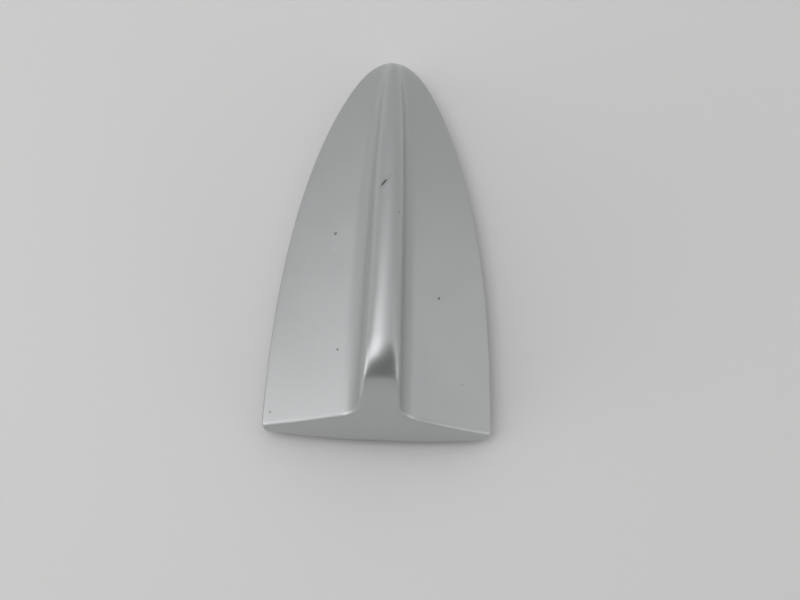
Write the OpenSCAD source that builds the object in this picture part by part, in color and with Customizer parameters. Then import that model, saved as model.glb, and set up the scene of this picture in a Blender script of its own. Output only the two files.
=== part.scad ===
// Roof antenna with a fin shaped painted cover, standing on the spigot that fits through the roof.
// X runs across, +Y points to the nose, +Z up. The origin is under the middle, on the resting plane.

/* [Cover outline] */
// Length of the cover, nose to tail
cover_l = 152; // [145:1:162]
// Width of the cover across the tail
cover_w = 82; // [79:1:88]
// Fullness of the outline towards the tail
plan_power = 2.33; // [2.2:0.01:2.5]
// Bluntness of the outline towards the nose
plan_root = 1.49; // [1.4:0.01:1.6]
// Distance by which the rounded nose stays behind the point of that outline
nose_back = 4; // [3:0.1:5]
// Distance over which the nose is rounded
nose_run = 2.2; // [1.5:0.1:3]
// Upright rim band at the tail
rim_tail = 4.7; // [4.4:0.1:6]
// Upright rim band at the nose
rim_nose = 2.6; // [2.4:0.1:3.4]

/* [Cover form] */
// Slope of the two flanks, in degrees
flank_slope = 28; // [27:0.5:31]
// Height of the fin above the line where the flanks would meet
fin_h = 25; // [22:0.5:29]
// Distance from the nose at which the fin has its full height
fin_run = 150; // [140:1:160]
// Radius of the crest at the tail
crest_r = 5.3; // [4.8:0.1:6.2]
// Part of the crest radius that is lost at the nose
crest_taper = 0.6; // [0.4:0.05:0.7]
// Part of the crest radius that gives way to a flat top towards the tail
crest_flat = 0.45; // [0.3:0.05:0.6]
// Length over which the crest flattens towards the tail
flat_run = 28; // [20:1:45]
// Distance over which the crest grows from the nose
taper_run = 28; // [22:1:34]
// Slope of the sides of the fin towards the nose, in degrees
side_slope = 86.5; // [85:0.5:87.5]
// Slope of the sides of the fin at the tail, in degrees
tail_slope = 82.5; // [81.5:0.5:85]
// Radius of the hollow between flank and fin
root_r = 12; // [9:0.5:14]
// Radius of the edge between rim band and flank
edge_r = 1.5; // [1.2:0.1:1.8]
// Forward lean of the tail face, in degrees
tail_lean = 18.4; // [14:0.2:20]
// Bulge of the tail face in plan
tail_bulge = 2; // [0.5:0.1:3]
// Length over which the crest rolls over into the tail face
roll_l = 12; // [9:0.5:13]
// Setback of the rounded edge of the tail face, along the flanks
tail_edge = 1.3; // [1:0.1:1.6]
// Setback of that edge along the fin
fin_edge = 0.9; // [0.8:0.1:1.3]
// Setback of the two upright corners of the tail face
corner_edge = 2.3; // [1.6:0.1:2.6]
// Wall of the cover
wall = 2.4; // [2.2:0.1:2.6]

/* [Base and seal] */
// Depth of the spigot below the rim of the cover
rim_z = 5; // [4.6:0.1:6]
// Thickness of the base plate
plate_t = 2.6; // [2.4:0.1:2.8]
// Height of the underside of the base plate above the rim of the cover
plate_rise = 0.4; // [0.3:0.05:0.6]
// Thickness of the seal's web
seal_t = 0.8; // [0.6:0.1:1]
// Depth of the seal's sealing beads below the web
bead_h = 0.6; // [0.4:0.05:0.7]
// Width of the sealing beads
bead_w = 2; // [1.5:0.1:2.5]
// Thickness of the seal's upright lip
lip_t = 1.4; // [1.1:0.1:1.6]
// Height of the seal's upright lip above the underside of the plate
lip_h = 1; // [0.6:0.1:1.4]
// Width of the spigot, across
spigot_w = 34; // [32:0.5:38]
// Length of the spigot, along
spigot_l = 46; // [44:0.5:50]
// Corner radius of the spigot
spigot_r = 4; // [3:0.5:6]
// Place of the spigot's middle, along the part
spigot_y = -13; // [-16:0.5:-10]
// Minor radius of the M6 thread in the fixing insert
thread_r = 2.5; // [2.4:0.05:2.6]
// Depth of that thread
thread_l = 7; // [6:0.5:8]
// Outer radius of the fixing insert
insert_r = 4.5; // [4.2:0.1:5]
// Side of the square hole for each socket
socket_w = 8.8; // [8.4:0.1:9.2]
// Distance of the two rear sockets from the middle
socket_x = 9; // [8.5:0.1:9.5]
// Distance of the sockets from the spigot's middle, along
socket_y = 14; // [13.5:0.1:15]

/* [Screws] */
// Radius of the cover screws' shanks
screw_r = 1.25; // [1.1:0.05:1.35]
// Radius of the cover screws' heads
head_r = 2.6; // [2.4:0.1:2.8]
// Height of the cover screws' heads
head_h = 1.2; // [1:0.1:1.3]
// Length of the cover screws' shanks above the base plate
screw_bite = 3.6; // [3:0.1:4]
// Radius of the screw bosses inside the cover
boss_r = 3; // [2.8:0.1:3.2]
// Radius of the board screws' shanks
board_screw_r = 1.2; // [1:0.05:1.3]
// Height of the board above the base plate
standoff_h = 3.2; // [3:0.1:3.4]

/* [Boards] */
// Thickness of the main board
board_t = 1.6; // [1.2:0.1:1.8]
// Widest half of the main board
board_half = 24; // [22:0.5:24.5]
// Rear end of the main board
board_rear = -60; // [-61:0.5:-58]
// Front end of the main board
board_front = 42; // [40:0.5:43]
// Side of the square patch antenna
patch_w = 18; // [16:0.5:18.5]
// Thickness of the patch antenna
patch_t = 4; // [3.5:0.1:4.2]
// Place of the patch antenna's middle, along the part
patch_y = 15; // [14:0.5:16]
// Thickness of the blade board in the fin
blade_t = 1.6; // [1:0.1:1.8]
// Rear end of the blade board's foot
blade_rear = -54; // [-55:0.5:-52]
// Front end of the blade board's foot
blade_front = -3; // [-6:0.5:-1]
// Gap between the blade board and the cover above it
blade_gap = 1.4; // [1:0.1:2]
// Width of the shield over the amplifier
shield_w = 12.5; // [11:0.5:13]
// Length of the shield over the amplifier
shield_l = 22; // [18:0.5:24]
// Height of the shield over the amplifier
shield_h = 2.4; // [2:0.1:2.6]

/* [Hidden] */

// Clearance between the rubber or metal pieces and the moulded cover
fit = 0.15;
// Clearance between hard pieces that slide together
slide = 0.05;
// Faces on a full round of an exact solid
round_fn = 48;

// Levels, upwards from the resting plane
plate_z = rim_z + plate_rise;
plate_top = plate_z + plate_t;
board_z = plate_top + standoff_h;
board_top = board_z + board_t;

// Colours
paint = [0.66, 0.67, 0.68];
black = [0.08, 0.08, 0.09];
alloy = [0.6, 0.61, 0.62];
steel = [0.7, 0.7, 0.72];
brass = [0.8, 0.62, 0.3];
gold = [0.85, 0.68, 0.3];
board_green = [0.05, 0.3, 0.16];
ceramic = [0.78, 0.7, 0.6];
tape_white = [0.88, 0.88, 0.85];
clay = [0.55, 0.42, 0.3];
foam_grey = [0.2, 0.2, 0.22];

// Cover surface
// The nose ends in a small flat where the outline is nose_cut from its own tip.
nose_cut = 0.15;
// Rows of the surface: body, rounded tail edge, tail face
body_rows = 28;
edge_rows = 5;
face_rows = 2;
last_row = body_rows + edge_rows + face_rows;
// Places along the half section, rim to crest, as [segment, share of the segment]
BAND = 0;
EDGE = 1;
FLANK = 2;
ROOT = 3;
SIDE = 4;
CREST = 5;
steps = [1, 2, 3, 6, 3, 7];
places = [for (s = [BAND:CREST]) for (i = [0:steps[s] - 1]) [s, i / steps[s]], [CREST, 1]];
half = len(places) - 1;
cols = 2 * half;
root_col = steps[BAND] + steps[EDGE] + steps[FLANK];
side_col = root_col + steps[ROOT];

function unit(v) = max(0, min(1, v));
function mix(a, b, t) = a + (b - a) * t;
function ease(t) = t * t * (3 - 2 * t);
// Half width of the outline at distance d from its tip, with the wall in taken off
function half_width(d, in) = (cover_w / 2 - in)
    * pow(max(0, 1 - pow(1 - unit((d - in + nose_back) / (cover_l - in + nose_back)), plan_power)), 1 / plan_root)
    * sqrt(1 - exp(-max(0, d - in) / nose_run));
function to_y(d) = cover_l / 2 + nose_cut - d;
function to_d(y) = cover_l / 2 + nose_cut - y;
function band_h(d) = mix(rim_nose, rim_tail, sqrt(unit(d / cover_l)));
// Height of the fin over which its sides turn upright, and their slope over the flanks' before they do
side_onset = 3;
side_start = 8;
// Distance over which the flanks rise at the nose
flank_onset = 1.3;
function slope(d) = atan(tan(flank_slope) * (1 - exp(-d / flank_onset)));
function fin_height(d) = fin_h * (1 - pow(1 - pow(unit(d / fin_run), 1.2), 2));
function crest_radius(d) = crest_r * (1 - crest_taper * exp(-d / taper_run));
// The tail face leans forward and bulges back in plan
function face_y(x, z, in) = -cover_l / 2 + tail_bulge * pow(x / (cover_w / 2), 2)
    + (z - rim_z) * tan(tail_lean) + in / cos(tail_lean);

// Share of the flattening of the crest at distance d
function flatness(d) = crest_flat * ease(unit((d - cover_l + flat_run) / flat_run));

// Section at distance d: [half width, flank corner height, crest height, crest radius, side slope,
// length of the side line, root radius, edge radius, radius of the crest's shoulders]
function section(d, in) =
    let (w = half_width(d, in),
        a = slope(d),
        zb = rim_z + band_h(d) - in * (1 / cos(a) - tan(a)),
        h = min(fin_height(d) + in * (1 / cos(a) - 1), 1.2 * w),
        r = min(max(crest_radius(d) - in, 0.5), 0.45 * w),
        p = mix(a + side_start, mix(side_slope, tail_slope, pow(unit(d / cover_l), 3)), 1 - exp(-h / side_onset)),
        l = (h - r * (1 - cos(p)) + r * sin(p) * tan(a)) / (sin(p) - cos(p) * tan(a)),
        q = root_r + in)
    [w, zb, zb + w * tan(a) + h, r, p, l, q * (1 - exp(-l / tan((p - a) / 2) / q)),
        min(max(edge_r - in, 0.3), 0.2 * w),
        max(r - crest_radius(d) * flatness(d), min(r, 0.5))];

// Point of the section at a place: [x, z, slope of the section there]
function section_point(place, d, in) =
    let (v = section(d, in), s = place[0], t = place[1], a = slope(d),
        w = v[0], zb = v[1], zc = v[2], r = v[3], p = v[4], l = v[5], q = v[6], e = v[7], rs = v[8],
        te = e * tan((90 - a) / 2),
        tr = q * tan((p - a) / 2),
        kx = r * sin(p) + l * cos(p),
        kz = zc - r * (1 - cos(p)) - l * sin(p),
        rx = kx + tr * cos(a),
        rz = kz - tr * sin(a),
        sx = (r - rs) * tan(p / 2),
        turn = mix(a, p, t))
    s == BAND ? [w, mix(rim_z, zb - te, t), 90]
    : s == EDGE ? let (b = t * (90 - a)) [w - e + e * cos(b), zb - te + e * sin(b), 90 - b]
    : s == FLANK ? [mix(w - te * cos(a), rx, t), mix(zb + te * sin(a), rz, t), a]
    : s == ROOT ? [rx + q * (sin(a) - sin(turn)), rz + q * (cos(a) - cos(turn)), turn]
    : s == SIDE ? [mix(kx - tr * cos(p), sx + rs * sin(p), t),
        mix(kz + tr * sin(p), zc - rs * (1 - cos(p)), t), p]
    : let (b = p * (1 - t)) [sx * (1 - t * t) + rs * sin(b), zc - rs * (1 - cos(b)), b];

// Distance at which the body surface meets the tail face, found by repeated substitution
tail_tries = 10;
function tail_d(place, in, d = cover_l, n = tail_tries) = n == 0 ? d
    : let (k = section_point(place, d, in)) tail_d(place, in, to_d(face_y(k[0], k[1], in)), n - 1);
function tail_point(place, in) = section_point(place, tail_d(place, in), in);

// Setback of the rounded tail edge: round at the two corners, crisp along the flanks and the fin
edge_least = 0.6;
function edge_setback(place, in) =
    let (round = place[0] == BAND ? 1 : place[0] == EDGE ? 1 - place[1] : 0)
    max(mix(tail_edge, corner_edge, round) - in / 3, edge_least);
// The crest rolls over into the tail face
roll_least = 6;
function roll_setback(in) = max(roll_l - in, roll_least);
function setback(place, in) = place[0] == CREST ? roll_setback(in)
    : place[0] == SIDE ? mix(edge_setback(place, in), roll_setback(in), pow(place[1], 2))
    : edge_setback(place, in);

function bezier(a, b, c, t) = (1 - t) * (1 - t) * a + 2 * t * (1 - t) * b + t * t * c;

// Where the rounded tail edge meets the flat face, as [x, z, part of x by which the edge is drawn in].
// Along the sides of the fin the points rise from the root to the level at which the roll ends.
roll_drop = 0.9;
function inset_point(place, in) =
    let (k = tail_point(place, in),
        low = edge_setback(place, in),
        e = place[0] < SIDE ? low : mix(low, max(fin_edge - in / 3, edge_least), place[0] == CREST ? 1 : place[1]))
    place[0] < SIDE ? [k[0] - e * sin(k[2]), k[1] - e * cos(k[2]), 0]
    : let (shoulder = tail_point([CREST, 0], in),
        foot = tail_point([SIDE, 0], in),
        level = tail_point([CREST, 1], in)[1] - roll_drop * roll_setback(in),
        z = place[0] == CREST ? level : mix(foot[1] - low * cos(foot[2]), level, place[1]),
        share = place[0] == CREST ? k[0] / shoulder[0] : 1)
    [(shoulder[0] + (shoulder[1] - z) / tan(tail_slope) - e) * share, z, e * share];

// Foot on the rim of the face line that starts at column c
function foot_x(c, in) =
    let (x0 = inset_point(places[0], in)[0], x1 = inset_point(places[root_col], in)[0],
        x2 = inset_point(places[side_col], in)[0])
    c <= root_col ? mix(x0, x1, c / root_col)
    : c < side_col ? inset_point(places[c], in)[0]
    : x2 * (1 - (c - side_col) / (half - side_col));

// One column of the surface, nose to tail and down the face, on the +X side
function column(c, in) =
    let (place = places[c],
        d0 = nose_cut + in,
        d1 = tail_d(place, in),
        d2 = d1 - setback(place, in),
        b = inset_point(place, in),
        k1 = section_point(place, d1, in),
        k2 = section_point(place, d2, in),
        start = [k2[0], to_y(d2), k2[1]],
        corner = [k1[0], to_y(d1), k1[1]],
        end = [b[0] + b[2], face_y(b[0], b[1], in), b[1]],
        foot = foot_x(c, in))
    [for (i = [0:body_rows - 1])
        let (d = mix(d0, d2, pow(i / body_rows, 1.8)), k = section_point(place, d, in))
        [k[0], to_y(d), k[1]],
    for (i = [0:edge_rows]) let (t = i / edge_rows)
        bezier(start, corner, end, t) - [b[2] * pow(t, 3), 0, 0],
    for (i = [1:face_rows])
        let (x = mix(b[0], foot, i / face_rows), z = mix(b[1], rim_z, i / face_rows))
        [x, face_y(x, z, in), z]];

// All points of one skin, row by row, from the +X rim over the crest to the -X rim
function skin_points(in) = let (right = [for (c = [0:half]) column(c, in)])
    [for (i = [0:last_row]) for (c = [0:cols])
        c <= half ? right[c][i] : [-right[cols - c][i][0], right[cols - c][i][1], right[cols - c][i][2]]];
// The face columns that start at the foot of the rim are one point
function index(i, c) = let (flat = body_rows + edge_rows)
    ((c == 0 || c == cols) && i > flat ? flat : i) * (cols + 1) + c;
function whole(f) = [for (t = f) if (t[0] != t[1] && t[1] != t[2] && t[2] != t[0]) t];
function quads(list) = [for (q = list) for (t = [[q[0], q[1], q[2]], [q[0], q[2], q[3]]]) t];
function skin_faces() = concat(
    whole(quads([for (i = [0:last_row - 1]) for (c = [0:cols - 1])
        [index(i, c), index(i + 1, c), index(i + 1, c + 1), index(i, c + 1)]])),
    whole(quads([for (c = [0:half - 1])
        [index(0, c), index(0, c + 1), index(0, cols - c - 1), index(0, cols - c)]])));
// Rim of a skin, once round from the nose
function rim_loop() = let (flat = body_rows + edge_rows)
    concat([for (i = [0:flat]) index(i, 0)], [for (c = [1:cols - 1]) index(last_row, c)],
        [for (i = [flat:-1:0]) index(i, cols)]);
function flipped(f) = [for (t = f) [t[0], t[2], t[1]]];
function shifted(f, n) = [for (t = f) [t[0] + n, t[1] + n, t[2] + n]];

// Closed solid inside the skin that lies in below the painted surface
module skin_solid(in) {
    loop = rim_loop();
    n = len(loop);
    floor_faces = whole(quads([for (k = [0:floor(n / 2) - 1])
        [loop[n - 1 - k], loop[n - 2 - k], loop[k + 1], loop[k]]]));
    polyhedron(skin_points(in), concat(skin_faces(), floor_faces));
}

// Moulded wall between the painted skin and the inner skin
module cover_wall() {
    count = (last_row + 1) * (cols + 1);
    loop = rim_loop();
    n = len(loop);
    ring = quads([for (k = [0:n - 1])
        [loop[k], loop[k] + count, loop[(k + 1) % n] + count, loop[(k + 1) % n]]]);
    polyhedron(concat(skin_points(0), skin_points(wall)),
        concat(skin_faces(), shifted(flipped(skin_faces()), count), ring));
}

// Outline of the main board, which stays clear of the flanks above it
board_gap = 0.8;
function board_width(y) = min(board_half, half_width(to_d(y), 0) - wall
    - (board_top + board_gap - rim_z - band_h(to_d(y)) + wall) / tan(flank_slope));

// Places of the cover screws, as [x, y]
screw_places = [[28.5, -60], [-28.5, -60], [24.5, 1], [-24.5, 1], [0, 50]];
// Places of the board screws, as [x, y], inside the edge of the board
board_screw_in = 3.5;
board_screw_ys = [board_rear + 4, board_front - 5];
board_screw_places = [for (y = board_screw_ys, s = [1, -1]) [s * (board_width(y) - board_screw_in), y]];
// Radius of the screw holes in the bosses, and depth of the cover screws' heads in the plate
pilot_r = screw_r + slide;
head_lift = 0.1;
// Stiffening webs of the bosses, as [screw number, reach across, reach along]
web_t = 1.2;
web_rise = 0.6;
web_l = 12;
webs = [[0, web_l, 0], [0, 0, -web_l], [1, -web_l, 0], [1, 0, -web_l], [2, web_l, 0], [2, 0, web_l],
    [3, -web_l, 0], [3, 0, web_l], [4, web_l, 0], [4, -web_l, 0], [4, 0, web_l]];
// Length of the bosses and webs before the inside of the cover cuts them off
boss_reach = 40;
// Growth of the bosses' radius over that length, and depth of the screw holes beyond the screws
boss_draft = 0.8;
pilot_extra = 0.3;

module screw_boss(place) {
    translate([place[0], place[1], plate_top])
        cylinder(h = boss_reach, r1 = boss_r, r2 = boss_r + boss_draft, $fn = 24);
}

// Stiffening web from a boss out to the wall
module boss_web(place, across, along) {
    post = [web_t, web_t, boss_reach - web_rise];
    translate([place[0] - web_t / 2, place[1] - web_t / 2, plate_top + web_rise]) hull() {
        cube(post);
        translate([across, along, 0]) cube(post);
    }
}

module cover() {
    color(paint) difference() {
        union() {
            cover_wall();
            intersection() {
                skin_solid(wall / 3);
                union() {
                    for (p = screw_places) screw_boss(p);
                    for (w = webs) boss_web(screw_places[w[0]], w[1], w[2]);
                }
            }
        }
        for (p = screw_places)
            translate([p[0], p[1], plate_top - 1])
                cylinder(h = 1 + screw_bite + pilot_extra, r = pilot_r, $fn = 24);
    }
}

// Half width of the hollow of the cover at its rim, drawn in by gap
nose_w = 0.6;
function hollow_half(y, gap) = max(half_width(to_d(y), wall) - gap, nose_w);

// Outline with half widths from a function of y. Its rear edge bulges by bow like the tail face,
// and cut is taken off its two rear corners.
stations = 24;
rear_steps = 8;
function outline(front, rear, bow, cut, widths) =
    let (back = function(x) rear + bow * pow(x / (cover_w / 2), 2),
        corner = back(widths(rear)) + cut,
        w = widths(corner) - cut,
        ys = [for (i = [0:stations]) mix(front, corner, pow(i / stations, 1.5))])
    concat([for (i = [0:stations]) [widths(ys[i]), ys[i]]],
        [for (i = [0:rear_steps]) let (x = mix(w, -w, i / rear_steps)) if (cut > 0) [x, back(x)]],
        [for (i = [stations:-1:0]) [-widths(ys[i]), ys[i]]]);

// Front and rear ends of what lies inside the rim, at gap from the wall
function hollow_front(gap) = cover_l / 2 - wall - gap - 2 * nose_cut;
function hollow_rear(gap) = -cover_l / 2 + wall / cos(tail_lean) + (plate_rise + lip_h) * tan(tail_lean) + gap;

// The plate stays clear of the flanks, which come down towards the nose
flank_gap = 0.7;
nose_gap = 6;
function plate_gap(y) = let (a = flank_slope,
    zb = rim_z + band_h(to_d(y)) - wall * (1 / cos(a) - tan(a)))
    max(fit + lip_t, (plate_top + flank_gap - zb) / tan(a));

module seal_sheet(gap, z, h) {
    translate([0, 0, z]) linear_extrude(h)
        polygon(outline(hollow_front(gap), hollow_rear(gap), tail_bulge, corner_edge,
            function(y) hollow_half(y, gap)));
}

module plate_sheet(grow, z, h) {
    translate([0, 0, z]) linear_extrude(h)
        polygon(outline(hollow_front(nose_gap) + grow, hollow_rear(fit + lip_t) - grow, tail_bulge,
            corner_edge, function(y) hollow_half(y, plate_gap(y)) + grow));
}

// Rounded rectangle with true round corners, centred on its place
module rounded_block(w, l, r, h) {
    linear_extrude(h) union() {
        square([w - 2 * r, l], center = true);
        square([w, l - 2 * r], center = true);
        for (x = [-1, 1], y = [-1, 1])
            translate([x * (w / 2 - r), y * (l / 2 - r)]) circle(r, $fn = round_fn);
    }
}

// Sprung retaining clips, one on each long side of the spigot
clip_w = 8;
clip_t = 0.4;
clip_y = spigot_y + 2;
clip_room = 0.3;

// Cuts that the clips pass through, with gap around them
module clip_slots(gap, z, h) {
    for (s = [-1, 1])
        translate([s * (spigot_w / 2 + slide + clip_t / 2) - clip_t / 2 - gap, clip_y - clip_w / 2 - gap, z])
            cube([clip_t + 2 * gap, clip_w + 2 * gap, h]);
}

// Cut in the seal that the spigot and its clips pass through
module spigot_hole(z, h) {
    translate([0, spigot_y, z]) rounded_block(spigot_w + 2 * fit, spigot_l + 2 * fit, spigot_r + fit, h);
    clip_slots(clip_room, z, h);
}

bead_in = 1;
module roof_seal() {
    bead_z = plate_z - seal_t - bead_h;
    color(black) union() {
        difference() {
            seal_sheet(fit, plate_z - seal_t, seal_t + lip_h);
            plate_sheet(slide, plate_z, lip_h + 1);
            spigot_hole(plate_z - seal_t - 1, seal_t + lip_h + 2);
        }
        difference() {
            seal_sheet(fit + bead_in, bead_z, bead_h);
            seal_sheet(fit + bead_in + bead_w, bead_z - 1, bead_h + 2);
        }
        difference() {
            translate([0, spigot_y, bead_z]) rounded_block(spigot_w + 2 * bead_w + bead_in,
                spigot_l + 2 * bead_w + bead_in, spigot_r + bead_w, bead_h);
            spigot_hole(bead_z - 1, bead_h + 2);
        }
    }
}

// Places of the sockets, as [x, y]: phone, radio, navigation
socket_places = [[socket_x, spigot_y - socket_y], [-socket_x, spigot_y - socket_y], [0, spigot_y + socket_y]];
insert_floor = 0.2;
insert_top = plate_top - 0.2;

// Ribs on the base plate, as [x, y, length along x, length along y]
rib_t = 1.4;
rib_h = 1.2;
long_rib_x = spigot_w / 2 + 1.6;
ribs = [[long_rib_x, -21, rib_t, 66], [-long_rib_x, -21, rib_t, 66], [8, 21, rib_t, 26],
    [-8, 21, rib_t, 26], [0, -52, 28, rib_t], [0, 8, 28, rib_t]];

module base_plate() {
    insert_wall = 2;
    insert_crown = 1.6;
    post_r = 2.6;
    screw_room = 0.2;
    color(alloy) difference() {
        union() {
            plate_sheet(0, plate_z, plate_t);
            translate([0, spigot_y, 0]) rounded_block(spigot_w, spigot_l, spigot_r, plate_z + plate_t / 2);
            translate([0, spigot_y, 0])
                cylinder(h = plate_top + insert_crown, r = insert_r + insert_wall, $fn = round_fn);
            for (p = board_screw_places)
                translate([p[0], p[1], plate_z]) cylinder(h = board_z - plate_z, r = post_r, $fn = round_fn);
            for (r = ribs) translate([r[0] - r[2] / 2, r[1] - r[3] / 2, plate_z])
                cube([r[2], r[3], plate_t + rib_h]);
        }
        translate([0, spigot_y, -1]) cylinder(h = insert_top + 1, r = insert_r, $fn = round_fn);
        for (p = socket_places)
            translate([p[0] - socket_w / 2, p[1] - socket_w / 2, -1]) cube([socket_w, socket_w, plate_top + 4]);
        for (p = screw_places) translate([p[0], p[1], plate_z - 1]) {
            cylinder(h = plate_t + 2, r = screw_r + screw_room, $fn = round_fn);
            cylinder(h = head_lift + head_h + 1, r = head_r + screw_room, $fn = round_fn);
        }
        for (p = board_screw_places) translate([p[0], p[1], plate_z + 1])
            cylinder(h = board_z, r = board_screw_r + slide, $fn = round_fn);
        clip_slots(slide, plate_z - 1, plate_t + rib_h + 2);
    }
}

module fixing_insert() {
    groove_z = 3;
    groove_h = 1;
    groove_t = 0.5;
    color(brass) translate([0, spigot_y, insert_floor]) difference() {
        cylinder(h = insert_top - insert_floor, r = insert_r, $fn = round_fn);
        translate([0, 0, -1]) cylinder(h = thread_l + 1, r = thread_r, $fn = round_fn);
        translate([0, 0, groove_z]) difference() {
            cylinder(h = groove_h, r = insert_r + 1, $fn = round_fn);
            translate([0, 0, -1]) cylinder(h = groove_h + 2, r = insert_r - groove_t, $fn = round_fn);
        }
    }
}

module screw(shank_r, shank_l, top_r, top_h) {
    difference() {
        union() {
            cylinder(h = top_h, r = top_r, $fn = round_fn);
            cylinder(h = top_h + shank_l, r = shank_r, $fn = round_fn);
        }
        // Six sided driving recess
        translate([0, 0, -1]) cylinder(h = 1 + top_h * 0.6, r = top_r * 0.45, $fn = 6);
    }
}

module cover_screws() {
    color(steel) for (p = screw_places) translate([p[0], p[1], plate_z + head_lift])
        screw(screw_r, plate_t + screw_bite - head_h - head_lift, head_r, head_h);
}

board_head_r = 2.1;
board_head_h = 1;
module board_screws() {
    color(steel) for (p = board_screw_places) translate([p[0], p[1], board_top + board_head_h])
        rotate([180, 0, 0]) screw(board_screw_r, board_t + standoff_h, board_head_r, board_head_h);
}

// Tabs on the foot of the blade board, which pass through the main board
tab_l = 6;
tab_in = 8;
tab_places = [blade_rear + tab_in, (blade_rear + blade_front) / 2, blade_front - tab_in];
// Radius of the pins of the sockets and of the feed pin of the patch antenna
pin_r = 0.45;
feed_r = 0.5;

module main_board() {
    color(board_green) difference() {
        translate([0, 0, board_z]) linear_extrude(board_t)
            polygon(outline(board_front, board_rear, 0, 0, function(y) board_width(y)));
        for (p = board_screw_places)
            translate([p[0], p[1], board_z - 1])
                cylinder(h = board_t + 2, r = board_screw_r + 0.1, $fn = round_fn);
        for (y = tab_places)
            translate([-blade_t / 2 - slide, y - tab_l / 2 - slide, board_z - 1])
                cube([blade_t + 2 * slide, tab_l + 2 * slide, board_t + 2]);
        for (p = socket_places)
            translate([p[0], p[1], board_z - 1]) cylinder(h = board_t + 2, r = pin_r + slide, $fn = round_fn);
        translate([0, patch_y, board_z - 1]) cylinder(h = board_t + 2, r = feed_r + slide, $fn = round_fn);
    }
}

// Patch antenna for satellite navigation, on its double sided tape
tape_t = 0.3;
feed_head = 0.4;
module patch_tape() {
    tape_w = patch_w - 1;
    color(tape_white) difference() {
        translate([-tape_w / 2, patch_y - tape_w / 2, board_top]) cube([tape_w, tape_w, tape_t]);
        translate([0, patch_y, board_top - 1]) cylinder(h = tape_t + 2, r = feed_r + 0.6, $fn = round_fn);
    }
}
module patch_antenna() {
    chamfer = 2;
    s = patch_w / 2;
    color(ceramic) difference() {
        translate([0, patch_y, board_top + tape_t]) linear_extrude(patch_t)
            polygon([[s, -s], [s, s - chamfer], [s - chamfer, s], [-s, s], [-s, -s + chamfer], [-s + chamfer, -s]]);
        translate([0, patch_y, board_top - 1]) cylinder(h = patch_t + 3, r = feed_r + slide, $fn = round_fn);
    }
}
module patch_pin() {
    tail = 0.6;
    pin_l = feed_head + patch_t + tape_t + board_t + tail;
    color(steel) translate([0, patch_y, board_top + tape_t + patch_t + feed_head]) rotate([180, 0, 0]) union() {
        cylinder(h = feed_head, r = feed_r + 0.7, $fn = round_fn);
        cylinder(h = pin_l, r = feed_r, $fn = round_fn);
    }
}

// Amplifier under its two piece shield, on the +X side of the blade
shield_x = 5;
shield_y = -32;
sheet_t = 0.3;
module shield_frame() {
    color(steel) translate([shield_x, shield_y, board_top]) difference() {
        cube([shield_w, shield_l, shield_h - sheet_t]);
        translate([sheet_t, sheet_t, -1]) cube([shield_w - 2 * sheet_t, shield_l - 2 * sheet_t, shield_h + 1]);
    }
}
module shield_lid() {
    skirt = 1.2;
    vent_r = 1;
    color(alloy) translate([shield_x - sheet_t, shield_y - sheet_t, board_top]) difference() {
        translate([0, 0, shield_h - skirt]) cube([shield_w + 2 * sheet_t, shield_l + 2 * sheet_t, skirt]);
        translate([sheet_t, sheet_t, 0]) cube([shield_w, shield_l, shield_h - sheet_t]);
        for (y = [shield_l / 4, 3 * shield_l / 4])
            translate([shield_w / 2, y, 0]) cylinder(h = shield_h + 1, r = vent_r, $fn = round_fn);
    }
}

// Small parts on the main board, each group as its size and its places [x, y]
chip = [3, 3, 0.9];
chip_places = [[11.5, -29], [7, -20], [11.5, -14.5]];
filter = [8, 6, 2.2];
filter_places = [[-16, -50], [-16, -38]];
capacitor = [1.2, 2, 1.2];
capacitor_pitch = 7;
capacitor_places = [for (i = [0:3], x = [-18, -8]) [x, -30 + i * capacitor_pitch]];
coil_r = 1.6;
coil_h = 2;
coil_places = [[-12, -24], [-12, -18], [-12, -12]];

module amplifier_chips() {
    color(black) for (p = chip_places) translate([p[0], p[1], board_top]) cube(chip);
}
module filter_blocks() {
    bore_r = 0.5;
    color(ceramic) for (p = filter_places) translate([p[0], p[1], board_top]) difference() {
        cube(filter);
        for (x = [0.3, 0.7]) translate([x * filter[0], -1, filter[2] / 2])
            rotate([-90, 0, 0]) cylinder(h = filter[1] + 2, r = bore_r, $fn = 24);
    }
}
module coils() {
    color(brass) for (p = coil_places) translate([p[0], p[1], board_top]) difference() {
        cylinder(h = coil_h, r = coil_r, $fn = round_fn);
        translate([0, 0, coil_h / 2]) cylinder(h = coil_h, r = coil_r / 2, $fn = round_fn);
    }
}
module capacitors() {
    color(clay) for (p = capacitor_places) translate([p[0], p[1], board_top]) cube(capacitor);
}

// Blade board for the phone bands, upright in the fin
blade_points = 10;
blade_step = 8;
blade_top_rear = blade_rear + 14;
blade_corner = 6;
peg_y = [blade_rear + 12, blade_front - 12];
peg_z = 3;
peg_r = 1.05;
function crest_z(y) = section(to_d(y), wall)[2];
function blade_top(y) = crest_z(y) - blade_gap;
// The rear edge of the blade follows the leaning tail face
function blade_rear_y(z) = blade_rear + max(0, (z - board_top - blade_step) * tan(tail_lean));

module phone_blade() {
    shoulder = blade_top(blade_top_rear) - blade_corner;
    ys = [for (i = [0:blade_points]) mix(blade_top_rear, blade_front, i / blade_points)];
    color(board_green) rotate([90, 0, 90]) translate([0, 0, -blade_t / 2]) linear_extrude(blade_t)
        difference() {
            union() {
                polygon(concat([[blade_front, board_top], [blade_rear, board_top],
                    [blade_rear, board_top + blade_step], [blade_rear_y(shoulder), shoulder]],
                    [for (y = ys) [y, blade_top(y)]]));
                for (y = tab_places) translate([y - tab_l / 2, board_z]) square([tab_l, board_t + 1]);
            }
            for (y = peg_y) translate([y, board_top + peg_z]) circle(peg_r + slide, $fn = round_fn);
        }
}

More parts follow.
